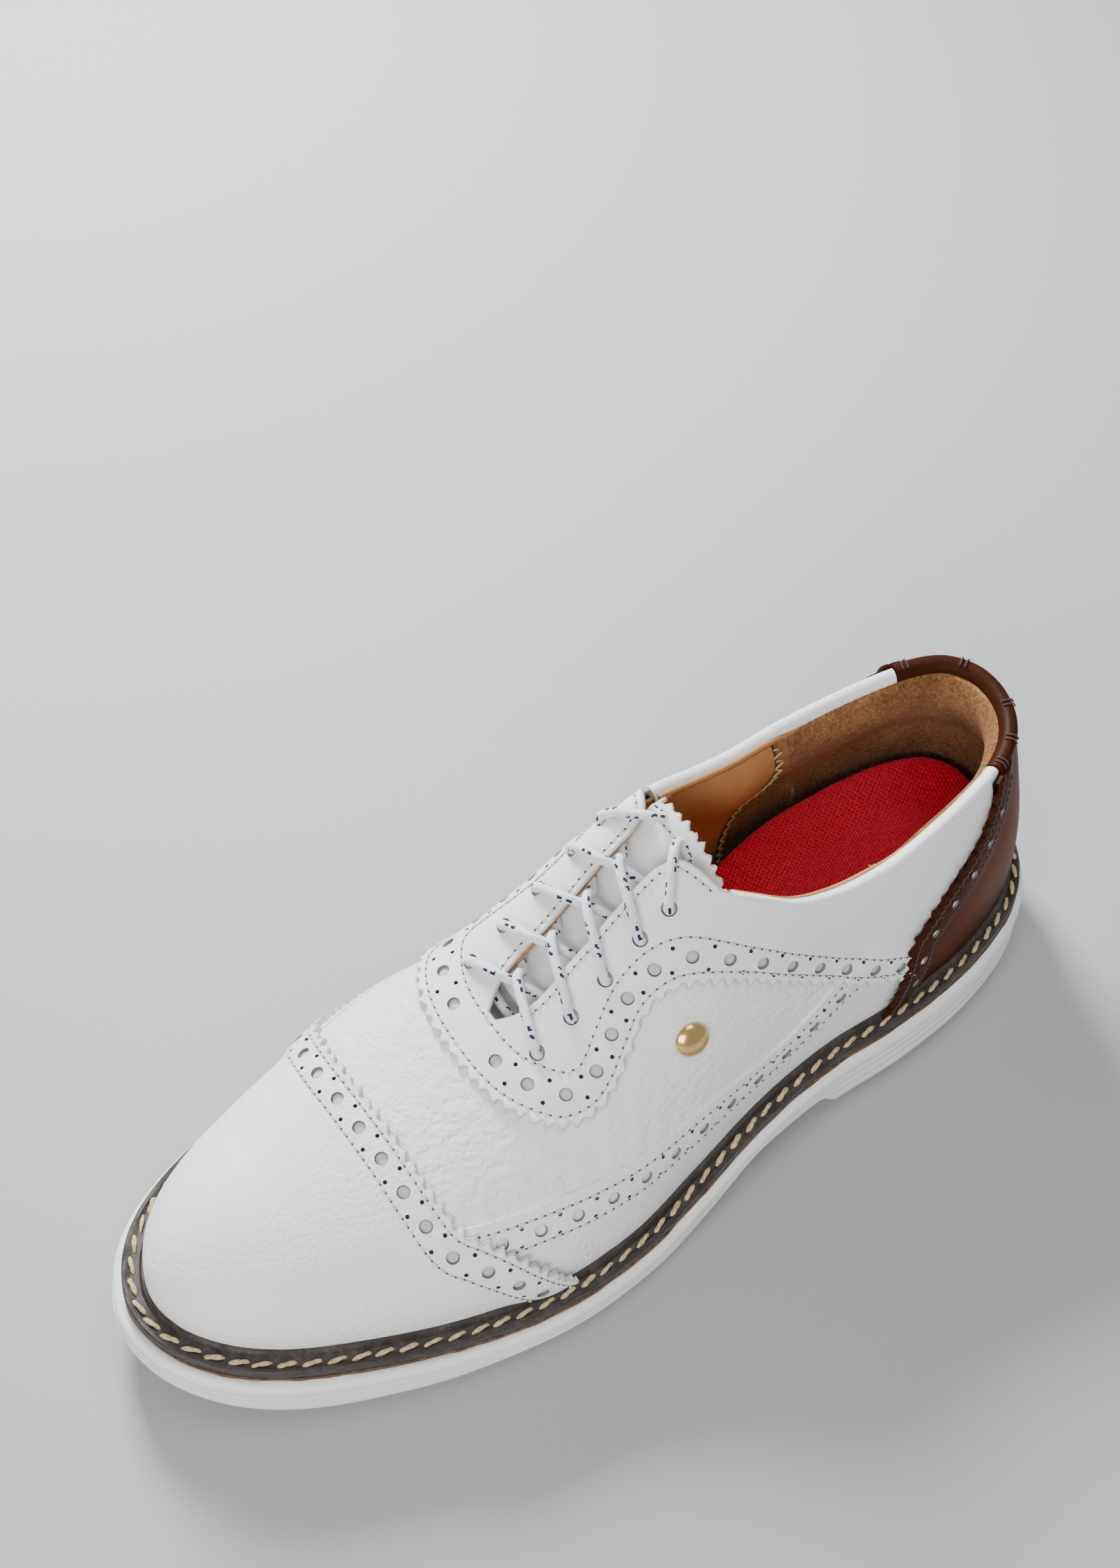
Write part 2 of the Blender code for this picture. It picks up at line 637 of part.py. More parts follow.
def facing_corner(side):
    """Rounded upper corner of a facing, from its edge up to the top line."""
    top = topline_in_spine(side, 175.0, 176.0)[0]
    edge = (THROAT_X + side * THROAT_HALF, FACING_TOP)
    middle = (THROAT_X + side * (THROAT_HALF + 3.0), FACING_TOP + 6.0)
    return spline([edge, middle, tuple(top)], 3)


def throat_edge(side):
    """Edge of a facing from the throat's front up to its top."""
    shape = [(1.5, 0.0), (4.4, 4.5), (5.6, 8.0), (THROAT_HALF, 24.0),
             (THROAT_HALF, FACING_TOP - THROAT_FRONT)]
    return np.array([(THROAT_X + side * half, THROAT_FRONT + rise) for half, rise in shape])


def eyelet_holes(sides, radius=EYELET_RADIUS):
    holes = []
    for side in sides:
        for v in EYELET_V:
            holes.append(circle((THROAT_X + side * EYELET_OFFSET, v), radius, 9))
    return holes


# ---- outer leather --------------------------------------------------------------------------
def build_toe_cap():
    rear = cap_seam()
    front = LAST.feather_in_spine(104, 104, 40, 0)[::-1]
    outline = shrink(join(rear[:-1], front[:-1]))
    solid("toe_cap", outline, on_spine(OVERLAY[0]), on_spine(OVERLAY[1]), "white_leather", 8)


def build_vamp():
    corners = [LAST.to_spine(*CAP_CORNER, side) for side in (-1, 1)]
    cap = part_of(cap_seam(), *corners)
    lateral, medial = foxing_seam(1), foxing_seam(-1)
    band_l, band_m = (part_of(band_seam(side), band_seam(side)[0], band_foot(side))
                      for side in (1, -1))
    outline = join(cap[:-1], lateral[:-1], band_l[::-1], band_m[1:-1], medial[::-1][:-1])
    holes = [circle(STUD_AT, STUD_POST + 0.5, 8)]
    solid("vamp", shrink(outline), on_spine(OUTER[0]), on_spine(OUTER[1]), "white_leather", 9,
          holes)


def build_throat_facing():
    def half(side):
        band = band_seam(side)
        counter = counter_in_spine(side)
        counter = counter[counter[:, 1] > band[-1][1] + 2]
        return [band, resample(counter, 8),
                topline_in_spine(side, 255, 178), facing_corner(side)[::-1],
                resample(throat_edge(side)[::-1], 5)]
    lateral = np.vstack(half(1))
    medial = np.vstack(half(-1))[::-1]
    outline = join(lateral, medial)
    solid("throat_facing", shrink(outline), on_spine(OUTER[0]), on_spine(OUTER[1]),
          "white_leather", 9, eyelet_holes((1, -1)))


def build_foxing(side, name):
    upper = foxing_seam(side)
    band = part_of(band_seam(side), band_foot(side), band_seam(side)[-1])
    counter = counter_in_spine(side)
    counter = counter[counter[:, 1] < 224.5][::-1]
    feather = np.array([LAST.to_spine(v, 0, side) for v in np.linspace(217, 106, 18)])
    ends = (LAST.to_spine(104, 0, side), LAST.to_spine(*CAP_CORNER, side))
    cap = part_of(cap_seam(), *ends)
    outline = join(upper[:-1], band, counter, feather, cap[:-1])
    solid(name, shrink(outline), on_spine(OVERLAY[0]), on_spine(OVERLAY[1]), "white_leather", 9)


def build_counter():
    lateral, medial = counter_seam(1), counter_seam(-1)
    start, stop = lateral[-1][0], medial[-1][0]
    top = np.array([(p, LAST.topline_q(LAST.rib_at(p)) - 3.0 * math.exp(-(p / 20.0)**8))
                    for p in np.linspace(start, stop, 16)[1:-1]])
    base = np.array([(p, 0.0) for p in np.linspace(medial[0][0], lateral[0][0], 28)[1:-1]])
    outline = join(resample(lateral, 7), top, resample(medial, 7)[::-1], base)
    solid("back_counter", shrink(outline), on_perimeter(OVERLAY[0]), on_perimeter(OVERLAY[1]),
          "brown_leather", 8)


def build_heel_tab():
    """Rolled leather tab over the top line at the heel: an inverted U with a soft top."""
    across = np.linspace(-TAB_HALF, TAB_HALF, 9)
    profile = [(-9.0, 1.8), (-1.0, 1.8), (1.8, 0.6), (3.0, -2.0), (3.2, -4.5), (3.0, -7.0),
               (1.8, -9.4), (-1.0, -10.5), (-6.0, -10.5), (-6.0, -9.7), (-1.2, -9.7),
               (0.9, -8.7), (2.0, -6.8), (2.2, -4.5), (2.0, -2.2), (0.9, -0.1), (-1.2, 1.0),
               (-9.0, 1.0)]
    verts = []
    for p in across:
        rib = LAST.rib_at(p)
        top = LAST.topline_q(rib)
        for rise, h in profile:
            verts.append(LAST.sample(rib, top + min(rise, 0.0), h) + (0, 0, max(rise, 0.0)))
    n = len(profile)
    faces = []
    for i in range(len(across) - 1):
        for k in range(n):
            a, b = i * n + k, i * n + (k + 1) % n
            faces.append((a, b, b + n, a + n))
    faces.append(tuple(range(n)))
    faces.append(tuple(range((len(across) - 1) * n, len(across) * n)))
    make_object("heel_tab", mesh_from("heel_tab", verts, faces), "brown_leather")


# ---- stiffeners, padding and linings --------------------------------------------------------
def lining_height(points):
    """Outer height of the quarter linings: close under the facing, inward at the collar."""
    rib, q = LAST.from_spine(points)
    facing = 1 - smooth_step(np.abs(points[:, 0] - THROAT_X), 22, 34)
    facing = facing * (points[:, 1] < 185)
    top = np.array([LAST.topline_q(r) for r in rib])
    collar = smooth_step(q, top - 34, top - 12) * smooth_step(points[:, 1], 180, 200)
    return LINING[1] + facing * (FACING_LINING[1] - LINING[1]) - collar * COLLAR_PAD


def collar_pad_height(points):
    """Outer height of the heel lining in the perimeter chart."""
    top = np.array([LAST.topline_q(LAST.rib_at(p)) for p in points[:, 0]])
    return LINING[1] - COLLAR_PAD * smooth_step(points[:, 1], top - 34, top - 12)


LINING_THICK = LINING[1] - LINING[0]
LINING_SPLIT_V = 120.0
LINING_REAR_V = 236.0


def build_linings():
    front = LAST.feather_in_spine(LINING_SPLIT_V, LINING_SPLIT_V, 30, 1)
    across = [(60, LINING_SPLIT_V), (40, LINING_SPLIT_V), (31, 117),
              (24, 111), (THROAT_X, 108), (-5, 111), (-13, 117), (-22, LINING_SPLIT_V),
              (-40, LINING_SPLIT_V)]
    outline = join(front, np.array(across, float)[::-1])
    solid("vamp_lining", shrink(outline), on_spine(LINING[0]), on_spine(LINING[1]),
          "tan_leather", 12)
    for side, name in ((1, "lining_lateral"), (-1, "lining_medial")):
        foot = np.array([LAST.to_spine(v, 1, side) for v in np.linspace(LINING_REAR_V, 121, 13)])
        rear_top = topline_in_spine(side, LINING_REAR_V, LINING_REAR_V - 1, 1.0)[0]
        edge = [(THROAT_X + side * 20, LINING_SPLIT_V + 1), (THROAT_X + side * 11, 117),
                (THROAT_X + side * (THROAT_HALF + 0.6), 120),
                (THROAT_X + side * (THROAT_HALF + 0.6), FACING_TOP - 1)]
        edge = resample(edge, 6)
        corner = facing_corner(side)[1:] + np.array([side * 1.0, -1.0])
        top = topline_in_spine(side, 182, LINING_REAR_V, 1.0)
        wall = np.linspace(rear_top, foot[0], 8)[1:-1]
        outline = join(foot, edge[:-1], corner, top, wall)
        solid(name, shrink(outline), on_spine(lambda pts: lining_height(pts) - LINING_THICK),
              on_spine(lining_height), "tan_leather", 11, eyelet_holes((side,), EYELET_RADIUS + 0.3))
    rear = LAST.rib_of_station(LINING_REAR_V, 1)
    reach = float(LAST.perimeter_at(rear))
    reach_m = float(LAST.perimeter_at(LAST.rib_of_station(LINING_REAR_V, -1)))
    stations = np.linspace(reach, reach_m, 22)
    top = np.array([(p, LAST.topline_q(LAST.rib_at(p)) - 1.0) for p in stations])
    base = np.array([(p, 1.0) for p in stations])
    solid("heel_lining", shrink(join(top, base[::-1])),
          on_perimeter(lambda pts: collar_pad_height(pts) - LINING_THICK),
          on_perimeter(collar_pad_height), "suede", 11)


def build_collar_foam():
    """Padding between the quarters and the lining, round the collar."""
    reach = float(LAST.perimeter_at(LAST.rib_of_station(205, 1)))
    reach_m = float(LAST.perimeter_at(LAST.rib_of_station(205, -1)))
    stations = np.linspace(reach, reach_m, 36)
    tops = np.array([LAST.topline_q(LAST.rib_at(p)) for p in stations])
    outline = join(np.column_stack([stations, tops - 3.0]),
                   np.column_stack([stations, tops - 17.0])[::-1])

    def inner(points):
        return collar_pad_height(points) + 1.1
    solid("collar_foam", outline, on_perimeter(inner), on_perimeter(-2.1), "grey_foam", 9)


def build_stiffeners():
    rear = [(74, 3), (72, 14), (66, 26)]
    lateral = [LAST.to_spine(v, q, 1) for v, q in rear]
    medial = [LAST.to_spine(v, q, -1) for v, q in reversed(rear)]
    across = [(16, 62), (0, 61), (-12, 62)]
    front = LAST.feather_in_spine(74, 74, 30, 2)[::-1]
    outline = join(resample(np.array(lateral + [np.array(a, float) for a in across] + medial),
                            8), front)
    solid("toe_puff", outline, on_spine(STIFFENER[0]), on_spine(STIFFENER[1]), "board", 9)
    reach = float(LAST.perimeter_at(LAST.rib_of_station(238, 1)))
    reach_m = float(LAST.perimeter_at(LAST.rib_of_station(238, -1)))
    stations = np.linspace(reach, reach_m, 20)
    share = np.linspace(-1, 1, 20)
    top = np.array([LAST.topline_q(LAST.rib_at(p)) for p in stations]) - 19 - 8 * share**4
    outline = join(np.column_stack([stations, top]),
                   np.column_stack([stations, np.full(20, 2.0)])[::-1])
    solid("heel_stiffener", outline, on_perimeter(STIFFENER[0]), on_perimeter(STIFFENER[1]),
          "board", 9)


# ---- tongue ---------------------------------------------------------------------------------
def tongue_outline(inset):
    """Tongue pattern in the spine chart: narrow at the throat, wide and flat at the top."""
    left = [(THROAT_X - 15, TONGUE_BASE), (THROAT_X - 19, 135), (THROAT_X - 22, 155),
            (THROAT_X - 23, TONGUE_TOP - 4)]
    right = [(THROAT_X + 15, TONGUE_BASE), (THROAT_X + 19, 135), (THROAT_X + 23, 155),
             (THROAT_X + 26, TONGUE_TOP)]
    top = [(THROAT_X - 23, TONGUE_TOP - 3), (THROAT_X, TONGUE_TOP - 1),
           (THROAT_X + 26, TONGUE_TOP + 1)]
    outline = join(resample(left, 9)[:-1], resample(top, 9)[:-1], resample(right, 9)[::-1],
                   [(THROAT_X + 5, TONGUE_BASE), (THROAT_X - 5, TONGUE_BASE)])
    return offset_outline(outline, inset)


def build_tongue():
    hinge = bpy.data.objects.new("tongue_hinge_axis", None)
    root = LAST.sample(*LAST.from_spine(np.array([[THROAT_X, TONGUE_BASE]])), TONGUE_PAD[0])[0]
    hinge.location = placed(root)
    bpy.context.scene.collection.objects.link(hinge)
    solid("tongue", tongue_outline(0.0), on_spine(TONGUE[0]), on_spine(TONGUE[1]),
          "white_leather", 10, parent=hinge)
    solid("tongue_foam", tongue_outline(1.5), on_spine(TONGUE_PAD[0]), on_spine(TONGUE_PAD[1]),
          "grey_foam", 11, parent=hinge)
    solid("tongue_lining", tongue_outline(0.3), on_spine(TONGUE_LINING[0]),
          on_spine(TONGUE_LINING[1]), "tan_leather", 11, parent=hinge)


# ---- lace -----------------------------------------------------------------------------------
OVER_H, UNDER_H = 1.75, -5.1
STRAND_OVER = [(-12.3, 2.0), (-7.5, 2.3), (-2.5, 2.05), (0.3, 1.6), (2.0, 0.9), (3.5, -1.4),
               (4.3, -3.7), (8.0, UNDER_H)]
STRAND_UNDER = [(-12.3, 2.0), (-8.5, 2.3), (-6.0, 2.1), (-4.2, 0.7), (-2.2, -1.2),
                (0.0, -2.0), (2.2, -3.2), (4.3, -4.3), (8.0, UNDER_H)]


def eyelet_turn(k, side, rising):
    """Points where the lace turns through an eyelet, from under the facing to over it."""
    middle, half = (OVER_H + UNDER_H) / 2, (OVER_H - UNDER_H) / 2
    points = []
    for angle in (-50, 0, 50):
        reach = EYELET_OFFSET - 1.6 + 2.2 * math.cos(math.radians(angle))
        rise = middle + half * math.sin(math.radians(angle)) * 1.1
        points.append((side * reach, EYELET_V[k], rise))
    return points if rising else points[::-1]


def crossing(k_from, side, strand):
    """Strand from over one facing at eyelet k to under the other facing at eyelet k + 1."""
    start, stop = EYELET_V[k_from], EYELET_V[k_from + 1]
    points = []
    for reach, h in strand:
        share = (reach + EYELET_OFFSET) / (2 * EYELET_OFFSET)
        points.append((-side * reach, start + (stop - start) * share, h))
    return points


def lace_route():
    """Spine-chart route (offset from the throat's centre, v, h) of the whole lace."""
    def climb(first_side):
        points, side = [], first_side
        for k in range(len(EYELET_V)):
            points += eyelet_turn(k, side, True)
            if k < len(EYELET_V) - 1:
                strand = STRAND_OVER if side > 0 else STRAND_UNDER
                points += crossing(k, side, strand)
                side = -side
        v = EYELET_V[-1]
        points += [(side * 12.5, v + 2.5, OVER_H), (side * 9.0, v + 5.0, OVER_H),
                   (side * 6.0, v + 7.3, 0.9), (side * 4.3, v + 9.0, -2.0),
                   (side * 5.5, v + 9.6, -4.9), (side * 10.0, v + 9.0, UNDER_H - 0.3)]
        return points
    bar = [(-9.0, EYELET_V[0] - 1.0, UNDER_H), (0.0, EYELET_V[0] - 1.5, UNDER_H),
           (9.0, EYELET_V[0] - 1.0, UNDER_H)]
    return climb(-1)[::-1] + bar + climb(1)


def build_lace():
    route = np.array(lace_route())
    flat = np.column_stack([route[:, 0] + THROAT_X, route[:, 1]])
    rib, q = LAST.from_spine(flat)
    world = LAST.sample(rib, q, route[:, 2])
    path = spline(world, 1)
    curve = bpy.data.curves.new("lace", "CURVE")
    curve.dimensions = "3D"
    curve.bevel_depth = LACE_RADIUS * MM
    curve.bevel_resolution = 2
    curve.use_fill_caps = True
    line = curve.splines.new("POLY")
    line.points.add(len(path) - 1)
    for point, place in zip(line.points, path):
        point.co = (*placed(place), 1)
    curve.materials.append(material("lace"))
    obj = bpy.data.objects.new("lace", curve)
    bpy.context.scene.collection.objects.link(obj)


# ---- sole -----------------------------------------------------------------------------------
def plan(inset, step=9.0):
    return resample(offset_outline(WELT_OUTLINE, inset), step, closed=True)


def inside_feather(inset, step=9.0):
    return resample(offset_outline(FEATHER, inset), step, closed=True)


def sole_underside(v):
    """Height of the outsole's underside: flat tread, toe spring and raised waist."""
    v = np.asarray(v, float)
    spring = TOE_SPRING * np.clip((45 - v) / 45, 0, 1.1)**2
    waist = WAIST_LIFT * smooth_step(v, 140, 172) * (1 - smooth_step(v, 194, 202))
    heel_bevel = 3.0 * np.clip((v - 278) / 22, 0, 1.2)**2
    return LUG_HEIGHT + spring + waist + heel_bevel


def outsole_top(v):
    return sole_underside(v) + OUTSOLE_THICK


def build_outsole():
    outline = plan(SOLE_INSET, SOLE_STEP)
    base = solid("outsole", outline, at_height(sole_underside), at_height(outsole_top),
                 "white_rubber", SOLE_SPACING)
    lugs = bmesh.new()
    edge = outline
    for row, v in enumerate(np.arange(22.0, 286.0, LUG_PITCH * 0.87)):
        if 140 < v < 204:
            continue
        for x in np.arange(-60.0 + (row % 2) * LUG_PITCH / 2, 60.0, LUG_PITCH):
            centre = np.array([[x, v]])
            clear = inside(centre, edge)[0] and distance_to(centre, edge)[0] > LUG_RADIUS + 2
            if not clear:
                continue
            low = float(sole_underside(v)) - LUG_HEIGHT
            ring = circle((x, v), LUG_RADIUS, 6)
            high = low + LUG_HEIGHT + LUG_ROOT
            bottom = [lugs.verts.new(placed((a, b + Y_OF_TOE, low))) for a, b in ring]
            top = [lugs.verts.new(placed((a, b + Y_OF_TOE, high))) for a, b in ring]
            lugs.faces.new(bottom[::-1])
            lugs.faces.new(top)
            for k in range(6):
                lugs.faces.new((bottom[k], bottom[(k + 1) % 6], top[(k + 1) % 6], top[k]))
    mesh = bpy.data.meshes.new("lugs")
    bmesh.ops.recalc_face_normals(lugs, faces=lugs.faces)
    lugs.to_mesh(mesh)
    lugs.free()
    tool = bpy.data.objects.new("lugs_guide", mesh)
    tool.hide_render = True
    tool.display_type = "WIRE"
    bpy.context.scene.collection.objects.link(tool)
    union = base.modifiers.new("lugs", "BOOLEAN")
    union.operation = "UNION"
    union.solver = "EXACT"
    union.object = tool


def build_midsole():
    """White sidewall unit: a ledge round the top, a hollow waistline and a flared foot."""
    outline = plan(SOLE_INSET, SOLE_STEP)
    grown = offset_outline(outline, -1.0)

    def wall(flare, share):
        def mapping(points):
            low = outsole_top(points[:, 1]) + GROUND_GAP
            high = welt_height(points[:, 1]) - WELT_THICK - RUNNER_THICK - 2 * GROUND_GAP
            index = [int(np.argmin(((outline - p)**2).sum(1))) for p in points]
            moved = points + (grown[index] - outline[index]) * (flare + SOLE_INSET)
            return np.column_stack([moved[:, 0], moved[:, 1] + Y_OF_TOE,
                                    low + (high - low) * share])
        return mapping

    low = at_height(lambda v: outsole_top(v) + GROUND_GAP)
    high = over_welt(-WELT_THICK - RUNNER_THICK - 2 * GROUND_GAP)
    sides = [wall(SOLE_FLARE * 0.9, 0.18), wall(SOLE_FLARE * 0.55, 0.5),
             wall(SOLE_FLARE * 0.5, 0.72), wall(SOLE_FLARE, 0.8), wall(SOLE_FLARE, 0.96)]
    solid("midsole", outline, low, high, "white_rubber", SOLE_SPACING, sides=sides)


def build_welt_group():
    outer, inner = plan(0), inside_feather(3.0)
    solid("welt", outer, over_welt(-WELT_THICK), over_welt(0), "dark_welt", 12, [inner])
    runner = over_welt(-WELT_THICK - GROUND_GAP)
    solid("midsole_runner", plan(0.4), over_welt(-WELT_THICK - GROUND_GAP - RUNNER_THICK),
          runner, "brown_leather", 20)
    shank_slot = [(-7, 155), (7, 155), (8, 175), (9, 200), (8, 225), (-8, 225), (-8, 200),
                  (-8, 175)]
    slot = resample(np.array(shank_slot, float), 12, closed=True)
    solid("cork_filler", inside_feather(3.4, 10), over_welt(-WELT_THICK), over_welt(-0.6),
          "cork", 22, [slot])
    solid("shank", shrink(slot, 0.5), over_welt(-WELT_THICK + 0.2), over_welt(-1.6), "steel", 22)
    solid("lasting_board", inside_feather(5.2, 10), over_welt(-0.2), over_welt(1.4), "board", 22)


def build_welt_thread():
    """Lockstitch thread round the welt, as one ring that lies on it."""
    inset = through((FEATHER_INSET[0], np.array(FEATHER_INSET[1]) * 0.42), WELT_OUTLINE[:, 1])
    path = resample(offset_outline(WELT_OUTLINE, inset), 7, closed=True)
    across, n = 6, len(path)
    middle = np.column_stack([path[:, 0], path[:, 1] + Y_OF_TOE,
                              welt_height(path[:, 1]) + 1.15])
    along = np.roll(middle, -1, 0) - np.roll(middle, 1, 0)
    along /= np.linalg.norm(along, axis=1)[:, None]
    out = np.column_stack([along[:, 1], -along[:, 0], np.zeros(n)])
    verts = []
    for i in range(n):
        for k in range(across):
            a = 2 * math.pi * k / across
            verts.append(middle[i] + 0.8 * math.cos(a) * out[i] + np.array([0, 0, 0.8])
                         * math.sin(a))
    faces = [(i * across + k, i * across + (k + 1) % across,
              ((i + 1) % n) * across + (k + 1) % across, ((i + 1) % n) * across + k)
             for i in range(n) for k in range(across)]
    make_object("welt_thread", mesh_from("welt_thread", verts, faces), "cream_thread")


FOOTBED_TOE = 14.5                 # station of the edge that the footbed lifts about
FOOTBED_INSET = 9.3                # from the feather line in to the footbed's edge
FOOTBED_RISE = 1.8                 # its underside over the welt's height


def footbed_lift(points):
    """Rise of the cupped footbed: thicker under the heel, up at its rim and at the arch."""
    v = points[:, 1]
    edge = distance_to(points, inside_feather(FOOTBED_INSET - 1.0, 6))
    rim = 1 - smooth_step(edge, 0, 15)
    arch = smooth_step(v, 140, 175) * (1 - smooth_step(v, 205, 240))
    medial = points[:, 0] < through(SPINE_X, v)
    return (8.0 * smooth_step(v, 115, 215) + 8.0 * smooth_step(v, 185, 235) * rim
            + 5.0 * arch * rim * medial)


def build_footbed():
    inset = FOOTBED_INSET + smooth_step(FEATHER[:, 1], 200, 265)
    outline = inside_feather(inset, 7)

    def layer(rise):
        def mapping(points):
            z = welt_height(points[:, 1]) + rise + footbed_lift(points)
            return np.column_stack([points[:, 0], points[:, 1] + Y_OF_TOE, z])
        return mapping
    hinge = bpy.data.objects.new("footbed_axis", None)
    low = welt_height(FOOTBED_TOE) + FOOTBED_RISE
    hinge.location = placed((0.0, FOOTBED_TOE + Y_OF_TOE, low))
    bpy.context.scene.collection.objects.link(hinge)
    solid("footbed_foam", outline, over_welt(FOOTBED_RISE), layer(5.2), "grey_foam", 12,
          parent=hinge)
    solid("footbed_cover", outline, layer(5.55), layer(6.8), "red_fabric", 12, parent=hinge)


# ---- stud -----------------------------------------------------------------------------------
STUD_AT = (59.0, 154.0)
STUD_POST = 1.1


def build_stud():
    """Plain domed stud on the lateral side, riveted through the leather to a washer."""
    rib, q = LAST.from_spine(np.array([STUD_AT]))
    centre = LAST.sample(rib, q, 0.0)[0]
    outward = LAST.sample(rib, q, 1.0)[0] - centre
    frame = Vector(outward).to_track_quat("Z", "Y")
    head = [(0, 2.4), (2.5, 2.2), (4.2, 1.6), (5.0, 0.9), (5.0, 0.5), (STUD_POST, 0.5),
            (STUD_POST, -3.0), (0, -3.0)]
    washer = [(STUD_POST + 0.4, -2.0), (3.6, -2.0), (3.6, -2.7), (STUD_POST + 0.4, -2.7)]
    turn_profile("stud", head, centre, frame, "brass", False)
    turn_profile("stud_washer", washer, centre, frame, "steel", True)


def turn_profile(name, profile, centre, frame, material_name, closed):
    sides = 16
    verts, faces, rings = [], [], []
    for radius, z in profile:
        if radius == 0:
            rings.append([len(verts)])
            verts.append((0, 0, z))
            continue
        rings.append(list(range(len(verts), len(verts) + sides)))
        for k in range(sides):
            a = 2 * math.pi * k / sides
            verts.append((radius * math.cos(a), radius * math.sin(a), z))
    pairs = list(zip(rings, rings[1:]))
    if closed:
        pairs.append((rings[-1], rings[0]))
    for low, high in pairs:
        for k in range(sides):
            a, b = low[k % len(low)], low[(k + 1) % len(low)]
            c, d = high[(k + 1) % len(high)], high[k % len(high)]
            face = [a]
            for v in (b, c, d):
                if v not in face:
                    face.append(v)
            if len(face) > 2:
                faces.append(tuple(face))
    turned = [np.array(frame @ Vector(v)) + centre for v in verts]
    make_object(name, mesh_from(name, turned, faces), material_name)


def main():
    for obj in list(bpy.data.objects):
        bpy.data.objects.remove(obj, do_unlink=True)
    build_outsole()
    build_midsole()
    build_welt_group()
    build_welt_thread()
    build_footbed()
    build_toe_cap()
    build_vamp()
    build_throat_facing()
    build_foxing(1, "foxing_lateral")
    build_foxing(-1, "foxing_medial")
    build_counter()
    build_heel_tab()
    build_linings()
    build_collar_foam()
    build_stiffeners()
    build_tongue()
    build_lace()
    build_stud()


main()
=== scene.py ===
import math

import bmesh
import bpy
import numpy as np
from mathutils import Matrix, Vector
from mathutils.geometry import delaunay_2d_cdt
from mathutils.kdtree import KDTree


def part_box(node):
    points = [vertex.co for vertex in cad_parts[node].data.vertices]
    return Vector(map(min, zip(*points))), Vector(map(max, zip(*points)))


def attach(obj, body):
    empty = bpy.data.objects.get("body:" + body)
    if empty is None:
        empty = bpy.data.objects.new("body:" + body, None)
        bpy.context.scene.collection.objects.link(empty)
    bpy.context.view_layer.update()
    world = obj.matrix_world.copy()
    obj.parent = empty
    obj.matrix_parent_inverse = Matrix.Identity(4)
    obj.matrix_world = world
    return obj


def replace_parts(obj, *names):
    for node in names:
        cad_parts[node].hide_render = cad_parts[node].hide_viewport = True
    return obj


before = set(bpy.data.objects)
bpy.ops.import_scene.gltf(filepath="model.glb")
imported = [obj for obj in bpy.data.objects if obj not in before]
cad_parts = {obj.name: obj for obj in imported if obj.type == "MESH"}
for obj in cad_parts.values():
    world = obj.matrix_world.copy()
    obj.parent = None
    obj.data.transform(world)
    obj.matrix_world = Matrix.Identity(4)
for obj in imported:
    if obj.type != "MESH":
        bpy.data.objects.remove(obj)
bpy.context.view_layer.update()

MM = 0.001

# ---- shape of the last, as in the CAD model; millimetres -------------------------------------
TOE_CENTRE, HEEL_CENTRE = 45.0, 262.0
WELT_EDGE = [(-6, -2), (8.5, 1), (21.6, 10.5), (32, 24.5), (41, 44), (50, 70), (55.3, 98),
             (54.2, 125), (48.8, 150), (43.6, 175), (41.2, 200), (41.2, 225), (38.6, 250),
             (32.5, 271), (24.6, 284.3), (13, 293.5), (-1, 297.8), (-15, 296.5), (-28, 288),
             (-35.6, 272), (-38.9, 250), (-38.6, 225), (-35.3, 200), (-34.2, 175),
             (-39.5, 150), (-46.6, 125), (-51.6, 98), (-50.9, 70), (-46, 43.5),
             (-38.5, 23.3), (-29.8, 10.3), (-19, 2)]
FEATHER_INSET = ([0, 50, 100, 150, 200, 300], [8, 7.5, 6.3, 5.5, 5.2, 4.6])
SPINE_X = ([45, 80, 120, 160, 190, 225, 262], [-8, -11.5, -14.5, -15, -12, -5, -1.5])
SPINE_Z = ([45, 80, 115, 140, 160, 185, 220, 262], [53, 60, 71, 88, 105, 118, 122, 118])
RIB_STATIONS = [0, 45, 80, 120, 150, 190, 230, 300]
ROUND_H_LATERAL = [2.3, 2.3, 2.3, 2.0, 1.85, 1.9, 2.0, 1.9]
ROUND_W_LATERAL = [2.1, 2.1, 2.1, 2.1, 2.1, 2.2, 2.4, 2.4]
ROUND_H_MEDIAL = [2.3, 2.4, 2.6, 2.6, 2.3, 2.1, 2.0, 1.9]
ROUND_W_MEDIAL = [2.1, 2.2, 2.4, 2.6, 2.6, 2.4, 2.4, 2.4]
WALL_BULGE = ([0, 60, 120, 180, 240, 270, 300], [1.0, 1.5, 1.5, 0.5, 1.5, 1.0, 0.5])
BULGE_HEIGHT = 45.0
TOPLINE_LATERAL = ([170, 184, 192, 203, 219, 240, 262, 300], [102, 95.5, 91, 88, 88, 91, 93, 95])
TOPLINE_MEDIAL = ([168, 182, 192, 203, 221, 242, 262, 300], [106, 103, 99, 96, 94, 92.5, 93, 95])

